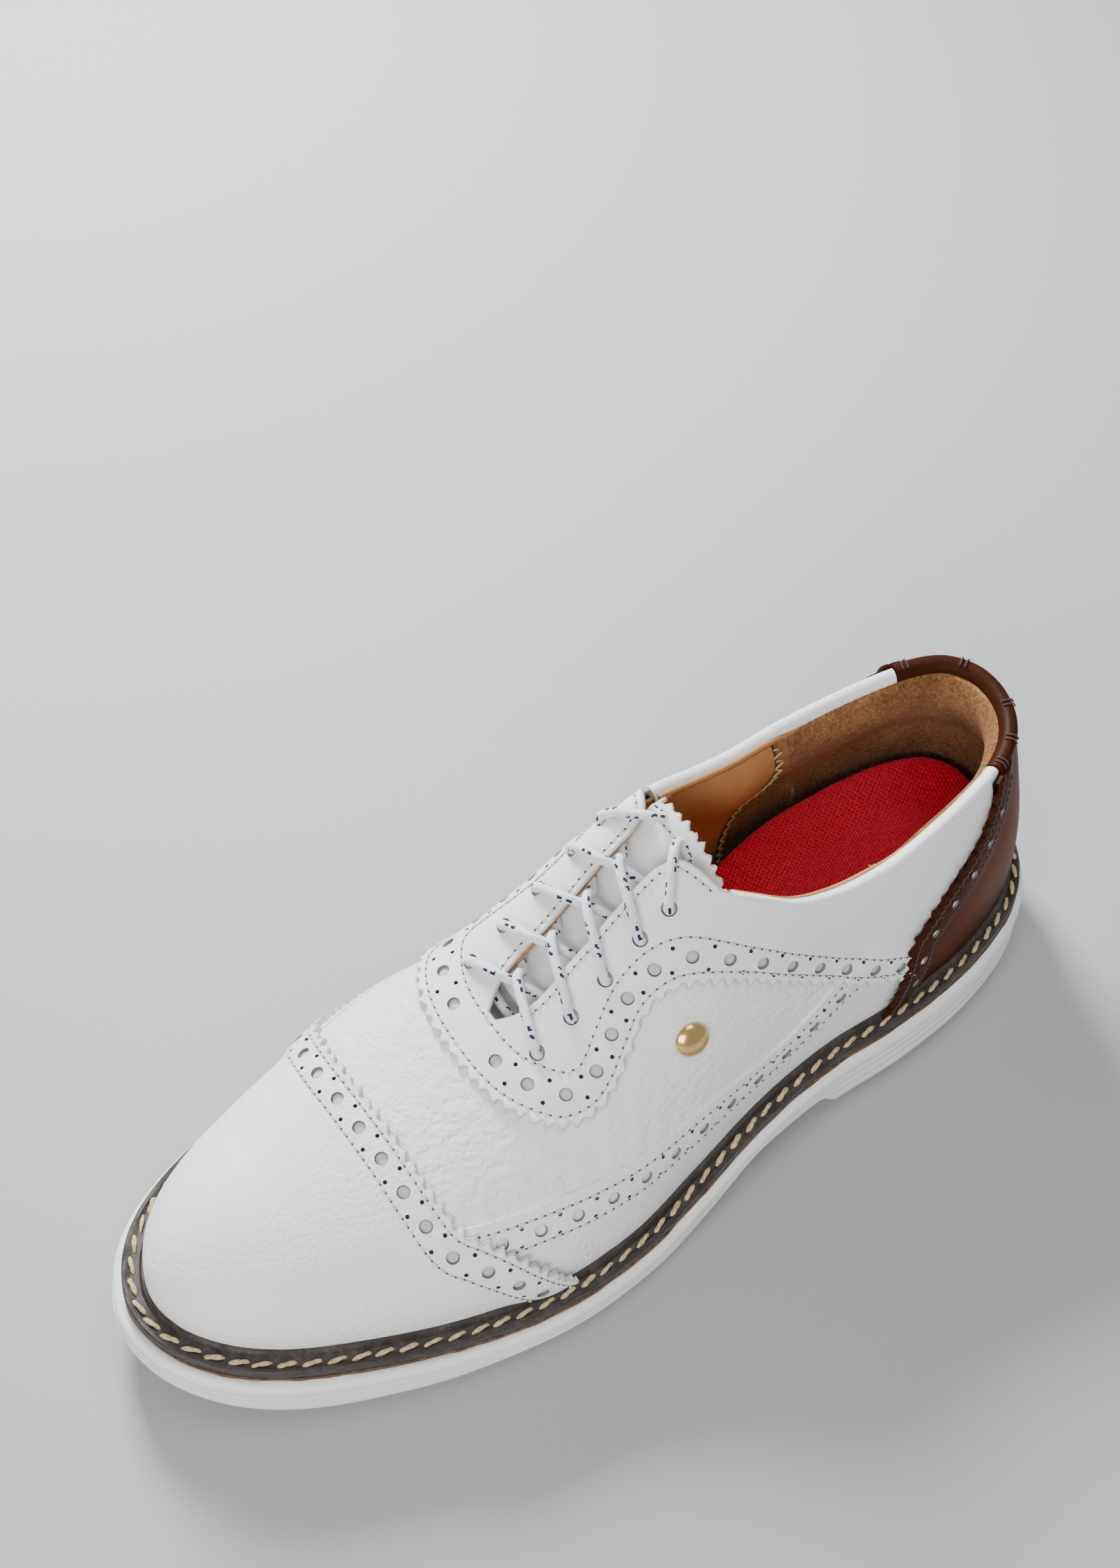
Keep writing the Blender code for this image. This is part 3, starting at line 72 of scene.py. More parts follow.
# ---- layers and seams ------------------------------------------------------------------------
LEATHER = 1.1                      # thickness of the outer leather
THROAT_X = 9.75
THROAT_FRONT, FACING_TOP = 114.0, 163.0
EYELET_V = [118.0, 129.3, 140.6, 151.9, 161.0]
EYELET_OFFSET = 16.25
EYELET_RADIUS = 2.2
LACE_RADIUS = 1.38
CAP_WING = [(104, 0), (100, 6), (93, 16), (88, 22.5), (83, 28), (78.5, 33)]
CAP_ACROSS = [(34, 77), (18, 76.5), (2, 76), (-14, 76)]
BAND_EDGE = [(0, 100.5), (9, 101), (18, 103), (27, 107.5), (35, 114), (39, 123), (38, 131),
             (34, 139), (31, 146), (33, 154), (40, 163), (50, 174), (60.5, 185), (70.5, 198),
             (77.5, 210), (83.5, 222), (88.0, 231)]
FOXING_EDGE = [(78.5, 33), (90, 32.4), (104, 31.4), (120, 29.8), (134, 28.3), (147, 27),
               (159, 25), (171, 22.6), (182, 22), (192, 25), (200, 29.5), (206, 32.5)]
COUNTER_EDGE = [(219, 0), (221.5, 6), (224, 17), (226.5, 29), (232, 35), (240, 41), (247, 45),
                (254, 50.5), (259.5, 58)]
BIG_HOLE, SMALL_HOLE = 1.85, 0.62
HOLE_PITCH = 10.2
PINK_PITCH, PINK_DEPTH = 4.3, 2.0
STITCH_PITCH = 2.6
WELT_STITCH_PITCH, WELT_STITCH_HALF = 6.4, 2.9
LACE_STEP, LACE_SIDES = 0.45, 20   # length between the lace's rings, and points in each

# ---- sole ------------------------------------------------------------------------------------
WELT_THICK = 3.0
RUNNER_THICK = 1.7
OUTSOLE_THICK = 3.2
LUG_HEIGHT = 2.0
WAIST_LIFT, TOE_SPRING = 7.5, 7.0
GROUND_GAP = 0.3


# ---- small mathematics -------------------------------------------------------------------------
def through(knots, x):
    """Smooth curve through knots = (xs, ys), constant beyond its ends."""
    xs = np.asarray(knots[0], float)
    ys = np.asarray(knots[1], float)
    x = np.clip(np.asarray(x, float), xs[0], xs[-1])
    slope = np.gradient(ys, xs)
    i = np.clip(np.searchsorted(xs, x) - 1, 0, len(xs) - 2)
    width = xs[i + 1] - xs[i]
    t = (x - xs[i]) / width
    rise = (2 * t**3 - 3 * t**2 + 1) * ys[i] + (-2 * t**3 + 3 * t**2) * ys[i + 1]
    return rise + width * ((t**3 - 2 * t**2 + t) * slope[i] + (t**3 - t**2) * slope[i + 1])


def smooth_step(x, low, high):
    t = np.clip((np.asarray(x, float) - low) / (high - low), 0, 1)
    return t * t * (3 - 2 * t)


def spline(points, steps, closed=False):
    """Points of a smooth curve through the given points, in any dimension."""
    pts = np.asarray(points, float)
    if closed:
        pts = np.vstack([pts[-1], pts, pts[0], pts[1]])
    else:
        pts = np.vstack([2 * pts[0] - pts[1], pts, 2 * pts[-1] - pts[-2]])
    knots = np.concatenate([[0], np.cumsum(np.linalg.norm(np.diff(pts, axis=0), axis=1)**0.5)])
    out = []
    for i in range(1, len(pts) - 2):
        span = knots[i + 1] - knots[i]
        m0 = (pts[i + 1] - pts[i - 1]) / (knots[i + 1] - knots[i - 1]) * span
        m1 = (pts[i + 2] - pts[i]) / (knots[i + 2] - knots[i]) * span
        for t in np.linspace(0, 1, steps, endpoint=False):
            out.append((2 * t**3 - 3 * t**2 + 1) * pts[i] + (t**3 - 2 * t**2 + t) * m0
                       + (-2 * t**3 + 3 * t**2) * pts[i + 1] + (t**3 - t**2) * m1)
    if not closed:
        out.append(pts[-2])
    return np.array(out)


def resample(points, step, closed=False):
    """The same path with evenly spaced points about step apart."""
    pts = np.asarray(points, float)
    if closed:
        pts = np.vstack([pts, pts[:1]])
    along = arc_lengths(pts)
    count = max(2, int(round(along[-1] / step)) + 1)
    at = np.linspace(0, along[-1], count)
    out = np.column_stack([np.interp(at, along, pts[:, k]) for k in range(pts.shape[1])])
    return out[:-1] if closed else out


def arc_lengths(points):
    """Length of a path up to each of its points."""
    return np.concatenate([[0], np.cumsum(np.linalg.norm(np.diff(points, axis=0), axis=1))])


def sideways(path, closed=False):
    """Unit vectors across a flat path, to its left."""
    if closed:
        along = np.roll(path, -1, 0) - np.roll(path, 1, 0)
    else:
        along = np.gradient(path, axis=0)
    along = along / (np.linalg.norm(along, axis=1)[:, None] + 1e-12)
    return np.column_stack([-along[:, 1], along[:, 0]])


def across_outline(outline):
    """Unit vectors that point into a closed outline."""
    inward = sideways(outline, closed=True)
    return inward if ((outline.mean(0) - outline) * inward).sum() >= 0 else -inward


def offset_outline(outline, inset):
    """A closed plan outline moved inward by inset (a number or one for each point)."""
    return outline + across_outline(outline) * np.broadcast_to(inset, len(outline))[:, None]


def inside(points, polygon):
    """Which points lie inside a polygon."""
    order = np.argsort(points[:, 1])
    x, y = points[order, 0], points[order, 1]
    odd = np.zeros(len(points), bool)
    for a, b in zip(polygon, np.roll(polygon, -1, 0)):
        if a[1] == b[1]:
            continue
        low, high = np.searchsorted(y, sorted((a[1], b[1])))
        cut = a[0] + (b[0] - a[0]) * (y[low:high] - a[1]) / (b[1] - a[1])
        odd[low:high] ^= x[low:high] < cut
    result = np.empty(len(points), bool)
    result[order] = odd
    return result


def tree_of(points):
    tree = KDTree(len(points))
    for i, p in enumerate(points):
        tree.insert((float(p[0]), float(p[1]), 0.0), i)
    tree.balance()
    return tree


def nearest(tree, points):
    """Distance from each flat point to the nearest one in a tree."""
    return np.array([tree.find((float(p[0]), float(p[1]), 0.0))[2] for p in points])


def distance(points, path, closed=False):
    """Distance from each flat point to a path, which is sampled finely first."""
    return nearest(tree_of(resample(path, 0.35, closed)), points)


# ---- the last ----------------------------------------------------------------------------------
def welt_height(v):
    v = np.asarray(v, float)
    return 18 + 8 * np.clip((90 - v) / 90, 0, 1.05)**2 + 10 * smooth_step(v, 120, 210)


WELT_OUTLINE = spline(WELT_EDGE, 12, closed=True)
WELT_BOX = [np.array(c[:2]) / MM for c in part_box("welt")]
SHIFT = (WELT_BOX[0] + WELT_BOX[1]) / 2 - (WELT_OUTLINE.min(0) + WELT_OUTLINE.max(0)) / 2
FEATHER = offset_outline(WELT_OUTLINE, through(FEATHER_INSET, WELT_OUTLINE[:, 1]))


def feather_x(v, side):
    line = FEATHER[(FEATHER[:, 0] - through(SPINE_X, FEATHER[:, 1])) * side > 0]
    line = line[np.argsort(line[:, 1])]
    return float(np.interp(v, line[:, 1], line[:, 0]))


def feather_radius(centre, angle):
    d = FEATHER - centre
    around = np.arctan2(d[:, 0], d[:, 1])
    order = np.argsort(around)
    turns = np.concatenate([around[order] - 2 * math.pi, around[order],
                            around[order] + 2 * math.pi])
    return float(np.interp(angle, turns, np.tile(np.hypot(d[:, 0], d[:, 1])[order], 3)))


class Last:
    """The surface that the upper is shaped on: ribs from the feather line up to the spine."""
    FAN, STRAIGHT, RISE = 40, 90, 81

    def __init__(self):
        heel = np.array([through(SPINE_X, HEEL_CENTRE), HEEL_CENTRE])
        toe = np.array([through(SPINE_X, TOE_CENTRE), TOE_CENTRE])
        foot, inward, half, side, crown = [], [], [], [], []

        def add_fan(centre, start, stop, count):
            for angle in np.linspace(start, stop, count, endpoint=False):
                out = np.array([math.sin(angle), math.cos(angle)])
                turn = (angle + math.pi) % (2 * math.pi) - math.pi
                radius = feather_radius(centre, turn)
                foot.append(centre + radius * out)
                inward.append(-out)
                half.append(radius)
                side.append(out[0])
                crown.append(float(through(SPINE_Z, centre[1])))

        def add_straight(start, stop, sign):
            for v in np.linspace(start, stop, self.STRAIGHT, endpoint=False):
                x = feather_x(v, sign)
                foot.append(np.array([x, v]))
                inward.append(np.array([-sign, 0.0]))
                half.append(abs(x - float(through(SPINE_X, v))))
                side.append(float(sign))
                crown.append(float(through(SPINE_Z, v)))

        add_fan(heel, 0, math.pi / 2, self.FAN)
        add_straight(HEEL_CENTRE, TOE_CENTRE, 1)
        add_fan(toe, math.pi / 2, 1.5 * math.pi, 2 * self.FAN)
        add_straight(TOE_CENTRE, HEEL_CENTRE, -1)
        add_fan(heel, 1.5 * math.pi, 2 * math.pi, self.FAN)
        for values in (foot, inward, half, side, crown):
            values.append(values[0])
        self.foot = np.array(foot)
        self.shape_ribs(np.array(inward), np.array(half), np.array(side), np.array(crown))
        ring = np.concatenate([self.grid[-2:-1], self.grid, self.grid[1:2]])
        normal = np.cross(np.gradient(self.grid, axis=1), ring[2:] - ring[:-2])
        normal[:, -1] = normal[:, -2]
        normal /= np.linalg.norm(normal, axis=2)[..., None]
        if (normal[:, 5, :2] * (self.grid[:, 5, :2] - self.grid[:, 5, :2].mean(0))).sum() < 0:
            normal = -normal
        self.normal = normal
        self.perimeter = arc_lengths(self.foot)
        self.find_topline()

    def shape_ribs(self, inward, half, side, crown):
        v = self.foot[:, 1]
        lateral = (1 + side) / 2
        round_h = (through((RIB_STATIONS, ROUND_H_LATERAL), v) * lateral
                   + through((RIB_STATIONS, ROUND_H_MEDIAL), v) * (1 - lateral))
        round_w = (through((RIB_STATIONS, ROUND_W_LATERAL), v) * lateral
                   + through((RIB_STATIONS, ROUND_W_MEDIAL), v) * (1 - lateral))
        base = welt_height(v) + 0.5
        turn = np.linspace(0, math.pi / 2, self.RISE)[None, :]
        width = half[:, None] * np.cos(turn)**(2 / round_w[:, None])
        height = (crown - base)[:, None] * np.sin(turn)**(2 / round_h[:, None])
        swell = np.sin(math.pi * np.clip(height / BULGE_HEIGHT, 0, 1))
        width = width + through(WALL_BULGE, v)[:, None] * swell * width / half[:, None]
        spine = self.foot + inward * half[:, None]
        raw = np.empty(width.shape + (3,))
        raw[..., 0] = spine[:, None, 0] - inward[:, None, 0] * width
        raw[..., 1] = spine[:, None, 1] - inward[:, None, 1] * width
        raw[..., 2] = base[:, None] + height
        steps = np.linalg.norm(np.diff(raw, axis=1), axis=2)
        along = np.concatenate([np.zeros((len(raw), 1)), np.cumsum(steps, axis=1)], axis=1)
        self.length = along[:, -1]
        self.grid = np.empty_like(raw)
        even = np.linspace(0, 1, self.RISE)
        for i in range(len(raw)):
            for k in range(3):
                self.grid[i, :, k] = np.interp(even * along[i, -1], along[i], raw[i, :, k])

    def locate(self, rib, q):
        """Points on the surface, in mm, and its outward normals there."""
        rib, q = np.broadcast_arrays(np.asarray(rib, float), np.asarray(q, float))
        i = np.clip(np.floor(rib).astype(int), 0, len(self.grid) - 2)
        u = np.clip(rib - i, 0, 1)
        length = self.length[i] * (1 - u) + self.length[i + 1] * u
        s = np.clip(q / length, 0, 1) * (self.RISE - 1)
        j = np.clip(np.floor(s).astype(int), 0, self.RISE - 2)
        w = (s - j)[..., None]
        u = u[..., None]

        def blend(field):
            low = field[i, j] * (1 - w) + field[i, j + 1] * w
            high = field[i + 1, j] * (1 - w) + field[i + 1, j + 1] * w
            return low * (1 - u) + high * u

        normal = blend(self.normal)
        return blend(self.grid), normal / np.linalg.norm(normal, axis=-1)[..., None]

    def rib_at(self, p):
        return np.interp(np.mod(p, self.perimeter[-1]), self.perimeter,
                         np.arange(len(self.perimeter)))

    def rib_of_station(self, v, side):
        share = (HEEL_CENTRE - np.asarray(v, float)) / (HEEL_CENTRE - TOE_CENTRE)
        if side > 0:
            return self.FAN + share * self.STRAIGHT
        return 3 * self.FAN + self.STRAIGHT + (1 - share) * self.STRAIGHT

    def rib_length(self, rib):
        return np.interp(rib, np.arange(len(self.length)), self.length)

    def perimeter_at(self, rib):
        p = np.interp(rib, np.arange(len(self.perimeter)), self.perimeter)
        return np.where(p > self.perimeter[-1] / 2, p - self.perimeter[-1], p)

    def from_spine(self, points):
        """Rib numbers and heights q of points (x, v) of the spine chart."""
        x, v = points[:, 0], points[:, 1]
        rib = np.where(x >= 0, self.rib_of_station(np.maximum(v, TOE_CENTRE), 1),
                       self.rib_of_station(np.maximum(v, TOE_CENTRE), -1))
        angle = np.mod(np.arctan2(x, v - TOE_CENTRE), 2 * math.pi)
        fan = self.FAN + self.STRAIGHT + (angle - math.pi / 2) / math.pi * 2 * self.FAN
        rib = np.where(v < TOE_CENTRE, fan, rib)
        radius = np.where(v < TOE_CENTRE, np.hypot(x, v - TOE_CENTRE), np.abs(x))
        return rib, self.rib_length(rib) - radius

    def to_spine(self, v, q, side):
        reach = self.rib_length(self.rib_of_station(v, side)) - q
        return np.array([side * float(reach), float(v)])

    def toe_in_spine(self, v, count, q):
        """Spine-chart points round the toe at height q, from lateral v to medial v."""
        fan_start = self.FAN + self.STRAIGHT
        out = []
        for rib in np.linspace(float(self.rib_of_station(v, 1)),
                               float(self.rib_of_station(v, -1)), count):
            reach = float(self.rib_length(rib)) - q
            if rib < fan_start:
                station = HEEL_CENTRE - (rib - self.FAN) / self.STRAIGHT * (HEEL_CENTRE
                                                                            - TOE_CENTRE)
                out.append((reach, station))
            elif rib <= fan_start + 2 * self.FAN:
                angle = math.pi / 2 + (rib - fan_start) / (2 * self.FAN) * math.pi
                out.append((reach * math.sin(angle), TOE_CENTRE + reach * math.cos(angle)))
            else:
                share = (rib - fan_start - 2 * self.FAN) / self.STRAIGHT
                out.append((-reach, TOE_CENTRE + share * (HEEL_CENTRE - TOE_CENTRE)))
        return np.array(out)

    def find_topline(self):
        """Height q of the top line on every rib."""
        count = len(self.grid)
        heights = []
        for i in range(count):
            knots = TOPLINE_LATERAL if i < count / 2 else TOPLINE_MEDIAL
            target = float(through(knots, self.foot[i, 1]))
            heights.append(float(np.interp(target, self.grid[i, :, 2],
                                           np.linspace(0, self.length[i], self.RISE))))
        self.top = np.array(heights)

    def topline_q(self, rib):
        return float(np.interp(rib, np.arange(len(self.top)), self.top))


LAST = Last()


def spine_chart(points):
    return LAST.locate(*LAST.from_spine(np.asarray(points, float)))


def perimeter_chart(points):
    points = np.asarray(points, float)
    return LAST.locate(LAST.rib_at(points[:, 0]), points[:, 1])


def lifted(chart, points, h):
    place, normal = chart(points)
    return place + normal * np.broadcast_to(h, len(place))[:, None]


# ---- materials ---------------------------------------------------------------------------------
class Paint:
    """A Principled material, with helpers that add nodes and wire them."""

    def __init__(self, name, colour, rough, **values):
        self.material = bpy.data.materials.new(name)
        self.material.use_nodes = True
        self.tree = self.material.node_tree
        self.shader = self.tree.nodes["Principled BSDF"]
        self.shader.inputs["Base Color"].default_value = (*colour, 1)
        self.shader.inputs["Roughness"].default_value = rough
        for key, value in values.items():
            self.shader.inputs[key.replace("_", " ")].default_value = value
        self.coords = self.tree.nodes.new("ShaderNodeTexCoord").outputs["Object"]

    def node(self, kind, output, settings=None, **inputs):
        """Adds a node, sets its inputs by number (i0, i1) or name, and returns an output."""
        node = self.tree.nodes.new("ShaderNode" + kind)
        for key, value in (settings or {}).items():
            setattr(node, key, value)
        for key, value in inputs.items():
            name = int(key[1:]) if key[1:].isdigit() else key.replace("_", " ")
            if isinstance(value, bpy.types.NodeSocket):
                self.tree.links.new(value, node.inputs[name])
            else:
                node.inputs[name].default_value = value
        return node.outputs[output]

    def noise(self, scale, detail=3.0, rough=0.5, vector=None):
        return self.node("TexNoise", "Fac", Scale=scale, Detail=detail, Roughness=rough,
                         Vector=vector or self.coords)

    def cells(self, scale, vector=None):
        return self.node("TexVoronoi", "Distance", {"feature": "SMOOTH_F1"}, Scale=scale,
                         Vector=vector or self.coords)

    def stretch(self, x, y, z, turn=(0, 0, 0)):
        return self.node("Mapping", "Vector", Vector=self.coords, Scale=(x, y, z),
                         Rotation=turn)

    def maths(self, operation, a, b=0.0):
        return self.node("Math", 0, {"operation": operation}, i0=a, i1=b)

    def ramp(self, factor, stops):
        node = self.tree.nodes.new("ShaderNodeValToRGB")
        elements = node.color_ramp.elements
        while len(elements) < len(stops):
            elements.new(0.5)
        for element, (place, colour) in zip(elements, stops):
            element.position = place
            element.color = (*colour, 1)
        self.tree.links.new(factor, node.inputs["Fac"])
        return node.outputs["Color"]

    def attribute(self, name):
        return self.node("Attribute", "Fac", {"attribute_name": name})

    def colour(self, socket):
        self.tree.links.new(socket, self.shader.inputs["Base Color"])

    def rough(self, factor, low, high):
        value = self.node("MapRange", 0, Value=factor, To_Min=low, To_Max=high)
        self.tree.links.new(value, self.shader.inputs["Roughness"])

    def bump(self, height, strength, depth_mm):
        normal = self.node("Bump", "Normal", Strength=strength, Distance=depth_mm * MM,
                           Height=height)
        self.tree.links.new(normal, self.shader.inputs["Normal"])


def white_leather(name, grain, crease, wrinkle=0.0):
    """White full-grain leather: soft pebbles, broken by fine creases, a little sheen."""
    paint = Paint(name, (0.84, 0.84, 0.825), 0.5, Specular_IOR_Level=0.42)
    pebble = paint.cells(880)
    fine = paint.noise(2600, 3.0, 0.6)
    folds = paint.noise(190, 5.0, 0.66, paint.stretch(1.4, 4.2, 1.8, (0, 0, 0.45)))
    ridge = paint.maths("ABSOLUTE", paint.maths("SUBTRACT", folds, 0.5))
    crease_map = paint.maths("MULTIPLY", paint.maths("SUBTRACT", 1.0, ridge), crease)
    patch = paint.node("MapRange", 0, Value=paint.noise(28, 2.0), From_Min=0.35, From_Max=0.65,
                       To_Min=0.35 * grain, To_Max=grain)
    total = paint.maths("ADD", paint.maths("MULTIPLY", pebble, patch), crease_map)
    total = paint.maths("ADD", total, paint.maths("MULTIPLY", fine, 0.16))
    if wrinkle:
        warp = paint.node("VectorMath", 0, {"operation": "ADD"}, i0=paint.coords, i1=paint.node(
            "VectorMath", 0, {"operation": "SCALE"}, Scale=0.004,
            i0=paint.node("TexNoise", "Color", Scale=260.0, Detail=2.0, Vector=paint.coords)))
        long_cells = paint.node("Mapping", "Vector", Vector=warp, Scale=(0.8, 0.75, 1.7),
                                Rotation=(0, 0, 0.3))
        fold = paint.cells(400, long_cells)
        where = paint.node("MapRange", 0, Value=paint.noise(22, 2.0), From_Min=0.38,
                           From_Max=0.62, To_Min=0.35 * wrinkle, To_Max=wrinkle)
        total = paint.maths("ADD", total, paint.maths("MULTIPLY", fold, where))
    paint.bump(total, 1.0, 0.3)
    paint.rough(paint.noise(90, 3.0), 0.42, 0.58)
    tint = paint.noise(14, 3.0)
    paint.colour(paint.ramp(tint, [(0.3, (0.86, 0.86, 0.845)), (0.7, (0.90, 0.90, 0.895))]))
    return paint.material


def edge_leather():
    """The fuzzy cut edge of white leather, painted darker grey as shade along the edge."""
    paint = Paint("white_cut_edge_painted_shade", (0.66, 0.65, 0.62), 0.9)
    paint.bump(paint.noise(1700, 4.0, 0.7), 0.8, 0.5)
    return paint.material


def brown_leather():
    """Burnished brown leather, darker along its edges from the burnish, and darker down by the welt
    as painted shade.
    """
    paint = Paint("burnished_leather", (0.14, 0.045, 0.02), 0.5, Specular_IOR_Level=0.06)
    cloud = paint.noise(55, 4.0, 0.6)
    # darker by distance from the panel's edge: burnish along the cut edges, painted shade along the
    # bottom by the welt
    edge = paint.maths("MULTIPLY", paint.attribute("edge"), 0.030)
    tone = paint.maths("ADD", edge, paint.maths("MULTIPLY", cloud, 0.45))
    paint.colour(paint.ramp(tone, [(0.15, (0.032, 0.008, 0.003)), (0.45, (0.057, 0.013, 0.004)),
                                   (0.8, (0.100, 0.025, 0.008)), (1.0, (0.125, 0.034, 0.010))]))
    grain = paint.maths("ADD", paint.cells(1100), paint.maths("MULTIPLY", paint.noise(3000), 0.5))
    paint.bump(grain, 0.35, 0.12)
    paint.rough(cloud, 0.4, 0.56)
    return paint.material


def tan_leather():
    paint = Paint("tan_lining", (0.42, 0.19, 0.07), 0.5, Specular_IOR_Level=0.4)
    cloud = paint.noise(45, 4.0, 0.6)
    paint.colour(paint.ramp(cloud, [(0.3, (0.34, 0.15, 0.05)), (0.7, (0.49, 0.235, 0.09))]))
    paint.bump(paint.maths("ADD", paint.cells(1500), paint.noise(3200)), 0.3, 0.1)
    paint.rough(cloud, 0.42, 0.6)
    return paint.material


def suede():
    paint = Paint("suede", (0.33, 0.17, 0.075), 0.95, Sheen_Weight=0.08,
                  Specular_IOR_Level=0.1)
    nap = paint.noise(900, 6.0, 0.72)
    cloud = paint.noise(70, 4.0, 0.6)
    tone = paint.maths("ADD", paint.maths("MULTIPLY", nap, 0.7),
                       paint.maths("MULTIPLY", cloud, 0.3))
    paint.colour(paint.ramp(tone, [(0.36, (0.15, 0.055, 0.016)), (0.5, (0.33, 0.145, 0.05)),
                                   (0.64, (0.56, 0.30, 0.12))]))
    paint.bump(paint.maths("ADD", nap, paint.noise(2600, 4.0, 0.7)), 0.9, 0.7)
    return paint.material


def red_fabric():
    """Red knitted sock fabric: small offset cells, each a loop of yarn."""
    paint = Paint("red_knit", (0.55, 0.01, 0.012), 0.8, Sheen_Weight=0.3, Sheen_Roughness=0.4,
                  Specular_IOR_Level=0.25)
    loops = paint.node("TexBrick", "Fac", {"offset": 0.5, "squash": 1.0}, Scale=1.0,
                       Vector=paint.stretch(1000, 1000, 1000, (0, 0, 0.2)),
                       Mortar_Size=0.22, Mortar_Smooth=1.0, Brick_Width=1.5, Row_Height=0.9)
    yarn = paint.noise(3800, 3.0, 0.7)
    height = paint.maths("SUBTRACT", paint.maths("MULTIPLY", yarn, 0.5), loops)
    paint.bump(height, 0.7, 0.28)
    # darker in the sunken gaps between the loops of yarn: painted shade
    tone = paint.maths("ADD", paint.maths("MULTIPLY", loops, -0.5), paint.noise(900, 3.0))
    paint.colour(paint.ramp(tone, [(0.0, (0.36, 0.003, 0.012)), (0.33, (0.78, 0.009, 0.040)),
                                   (0.75, (0.93, 0.022, 0.065))]))
    return paint.material


def welt_material():
    """Dark grey-brown welt: waxed, scuffed and a little fibrous."""
    paint = Paint("welt_leather", (0.06, 0.05, 0.045), 0.5, Specular_IOR_Level=0.45)
    fibre = paint.noise(700, 5.0, 0.7)
    cloud = paint.noise(120, 4.0, 0.6)
    tone = paint.maths("ADD", paint.maths("MULTIPLY", fibre, 0.5),
                       paint.maths("MULTIPLY", cloud, 0.5))
    paint.colour(paint.ramp(tone, [(0.35, (0.014, 0.011, 0.010)), (0.55, (0.045, 0.036, 0.032)),
                                   (0.72, (0.105, 0.086, 0.074))]))
    paint.bump(fibre, 0.6, 0.35)
    paint.rough(cloud, 0.4, 0.62)
    return paint.material


def raw_edge():
    paint = Paint("raw_brown_edge", (0.11, 0.06, 0.035), 0.8)
    fibre = paint.noise(500, 5.0, 0.7, paint.stretch(1, 1, 3))
    paint.colour(paint.ramp(fibre, [(0.35, (0.05, 0.026, 0.015)), (0.65, (0.19, 0.11, 0.06))]))
    paint.bump(fibre, 0.8, 0.4)
    return paint.material


def rubber():
    paint = Paint("white_rubber", (0.86, 0.86, 0.85), 0.42, Specular_IOR_Level=0.45)
    paint.bump(paint.noise(1400, 4.0, 0.6), 0.12, 0.08)
    paint.rough(paint.noise(60, 3.0), 0.36, 0.5)
    return paint.material


def thread_material(name, dark, light, scale=1500):
    paint = Paint(name, light, 0.75, Sheen_Weight=0.2, Specular_IOR_Level=0.3)
    fibre = paint.noise(scale, 4.0, 0.7)
    paint.colour(paint.ramp(fibre, [(0.3, dark), (0.6, light)]))
    paint.bump(fibre, 0.5, 0.12)
    return paint.material


def brass():
    paint = Paint("polished_brass", (0.80, 0.56, 0.22), 0.2, Metallic=1.0)
    paint.rough(paint.noise(400, 3.0), 0.14, 0.28)
    paint.bump(paint.noise(900, 2.0), 0.1, 0.05)
    return paint.material


def plain(name, dark, light, rough, scale):
    paint = Paint(name, light, rough)
    grain = paint.noise(scale, 4.0, 0.65)
    paint.colour(paint.ramp(grain, [(0.35, dark), (0.65, light)]))
    paint.bump(grain, 0.6, 0.3)
    return paint.material


WHITE = white_leather("white_leather", 1.0, 0.12)
WHITE_CREASED = white_leather("white_leather_creased", 0.9, 0.3, 2.2)
WHITE_SMOOTH = white_leather("white_leather_smooth", 0.4, 0.3)
CUT_EDGE_SHADE = edge_leather()
BROWN = brown_leather()
TAN = tan_leather()
SUEDE = suede()
RED = red_fabric()
WELT = welt_material()
RAW = raw_edge()
# painted shade in punched holes: grey hole floors, dark hole walls, near-black small holes and
# needle pricks
HOLE_FLOOR_SHADE = Paint("punched_floor_painted_shade", (0.60, 0.60, 0.59), 0.9).material
HOLE_WALL_SHADE = Paint("punched_wall_painted_shade", (0.17, 0.17, 0.168), 0.9).material
HOLE_SHADOW = Paint("hole_painted_shadow", (0.07, 0.07, 0.07), 0.9).material
RUBBER = rubber()
BRASS = brass()
WHITE_THREAD = thread_material("white_thread", (0.5, 0.5, 0.48), (0.8, 0.8, 0.78))
BROWN_THREAD = thread_material("brown_thread", (0.03, 0.012, 0.008), (0.07, 0.03, 0.018))
CREAM = thread_material("cream_thread", (0.30, 0.20, 0.08), (0.66, 0.52, 0.29), 1300)
GOLD_THREAD = thread_material("gold_thread", (0.35, 0.2, 0.07), (0.62, 0.42, 0.18))
LACE = thread_material("lace_white", (0.66, 0.69, 0.76), (0.85, 0.87, 0.92), 1800)
NAVY = thread_material("lace_navy", (0.004, 0.005, 0.02), (0.012, 0.015, 0.05), 1800)
FOAM = plain("grey_foam", (0.16, 0.16, 0.16), (0.32, 0.32, 0.33), 0.95, 900)
BOARD = plain("fibre_board", (0.33, 0.25, 0.15), (0.5, 0.4, 0.26), 0.9, 500)
CORK = plain("cork", (0.22, 0.12, 0.05), (0.45, 0.28, 0.14), 0.9, 350)
STEEL = plain("shank_steel", (0.35, 0.35, 0.36), (0.55, 0.55, 0.56), 0.35, 600)
STEEL.node_tree.nodes["Principled BSDF"].inputs["Metallic"].default_value = 1.0


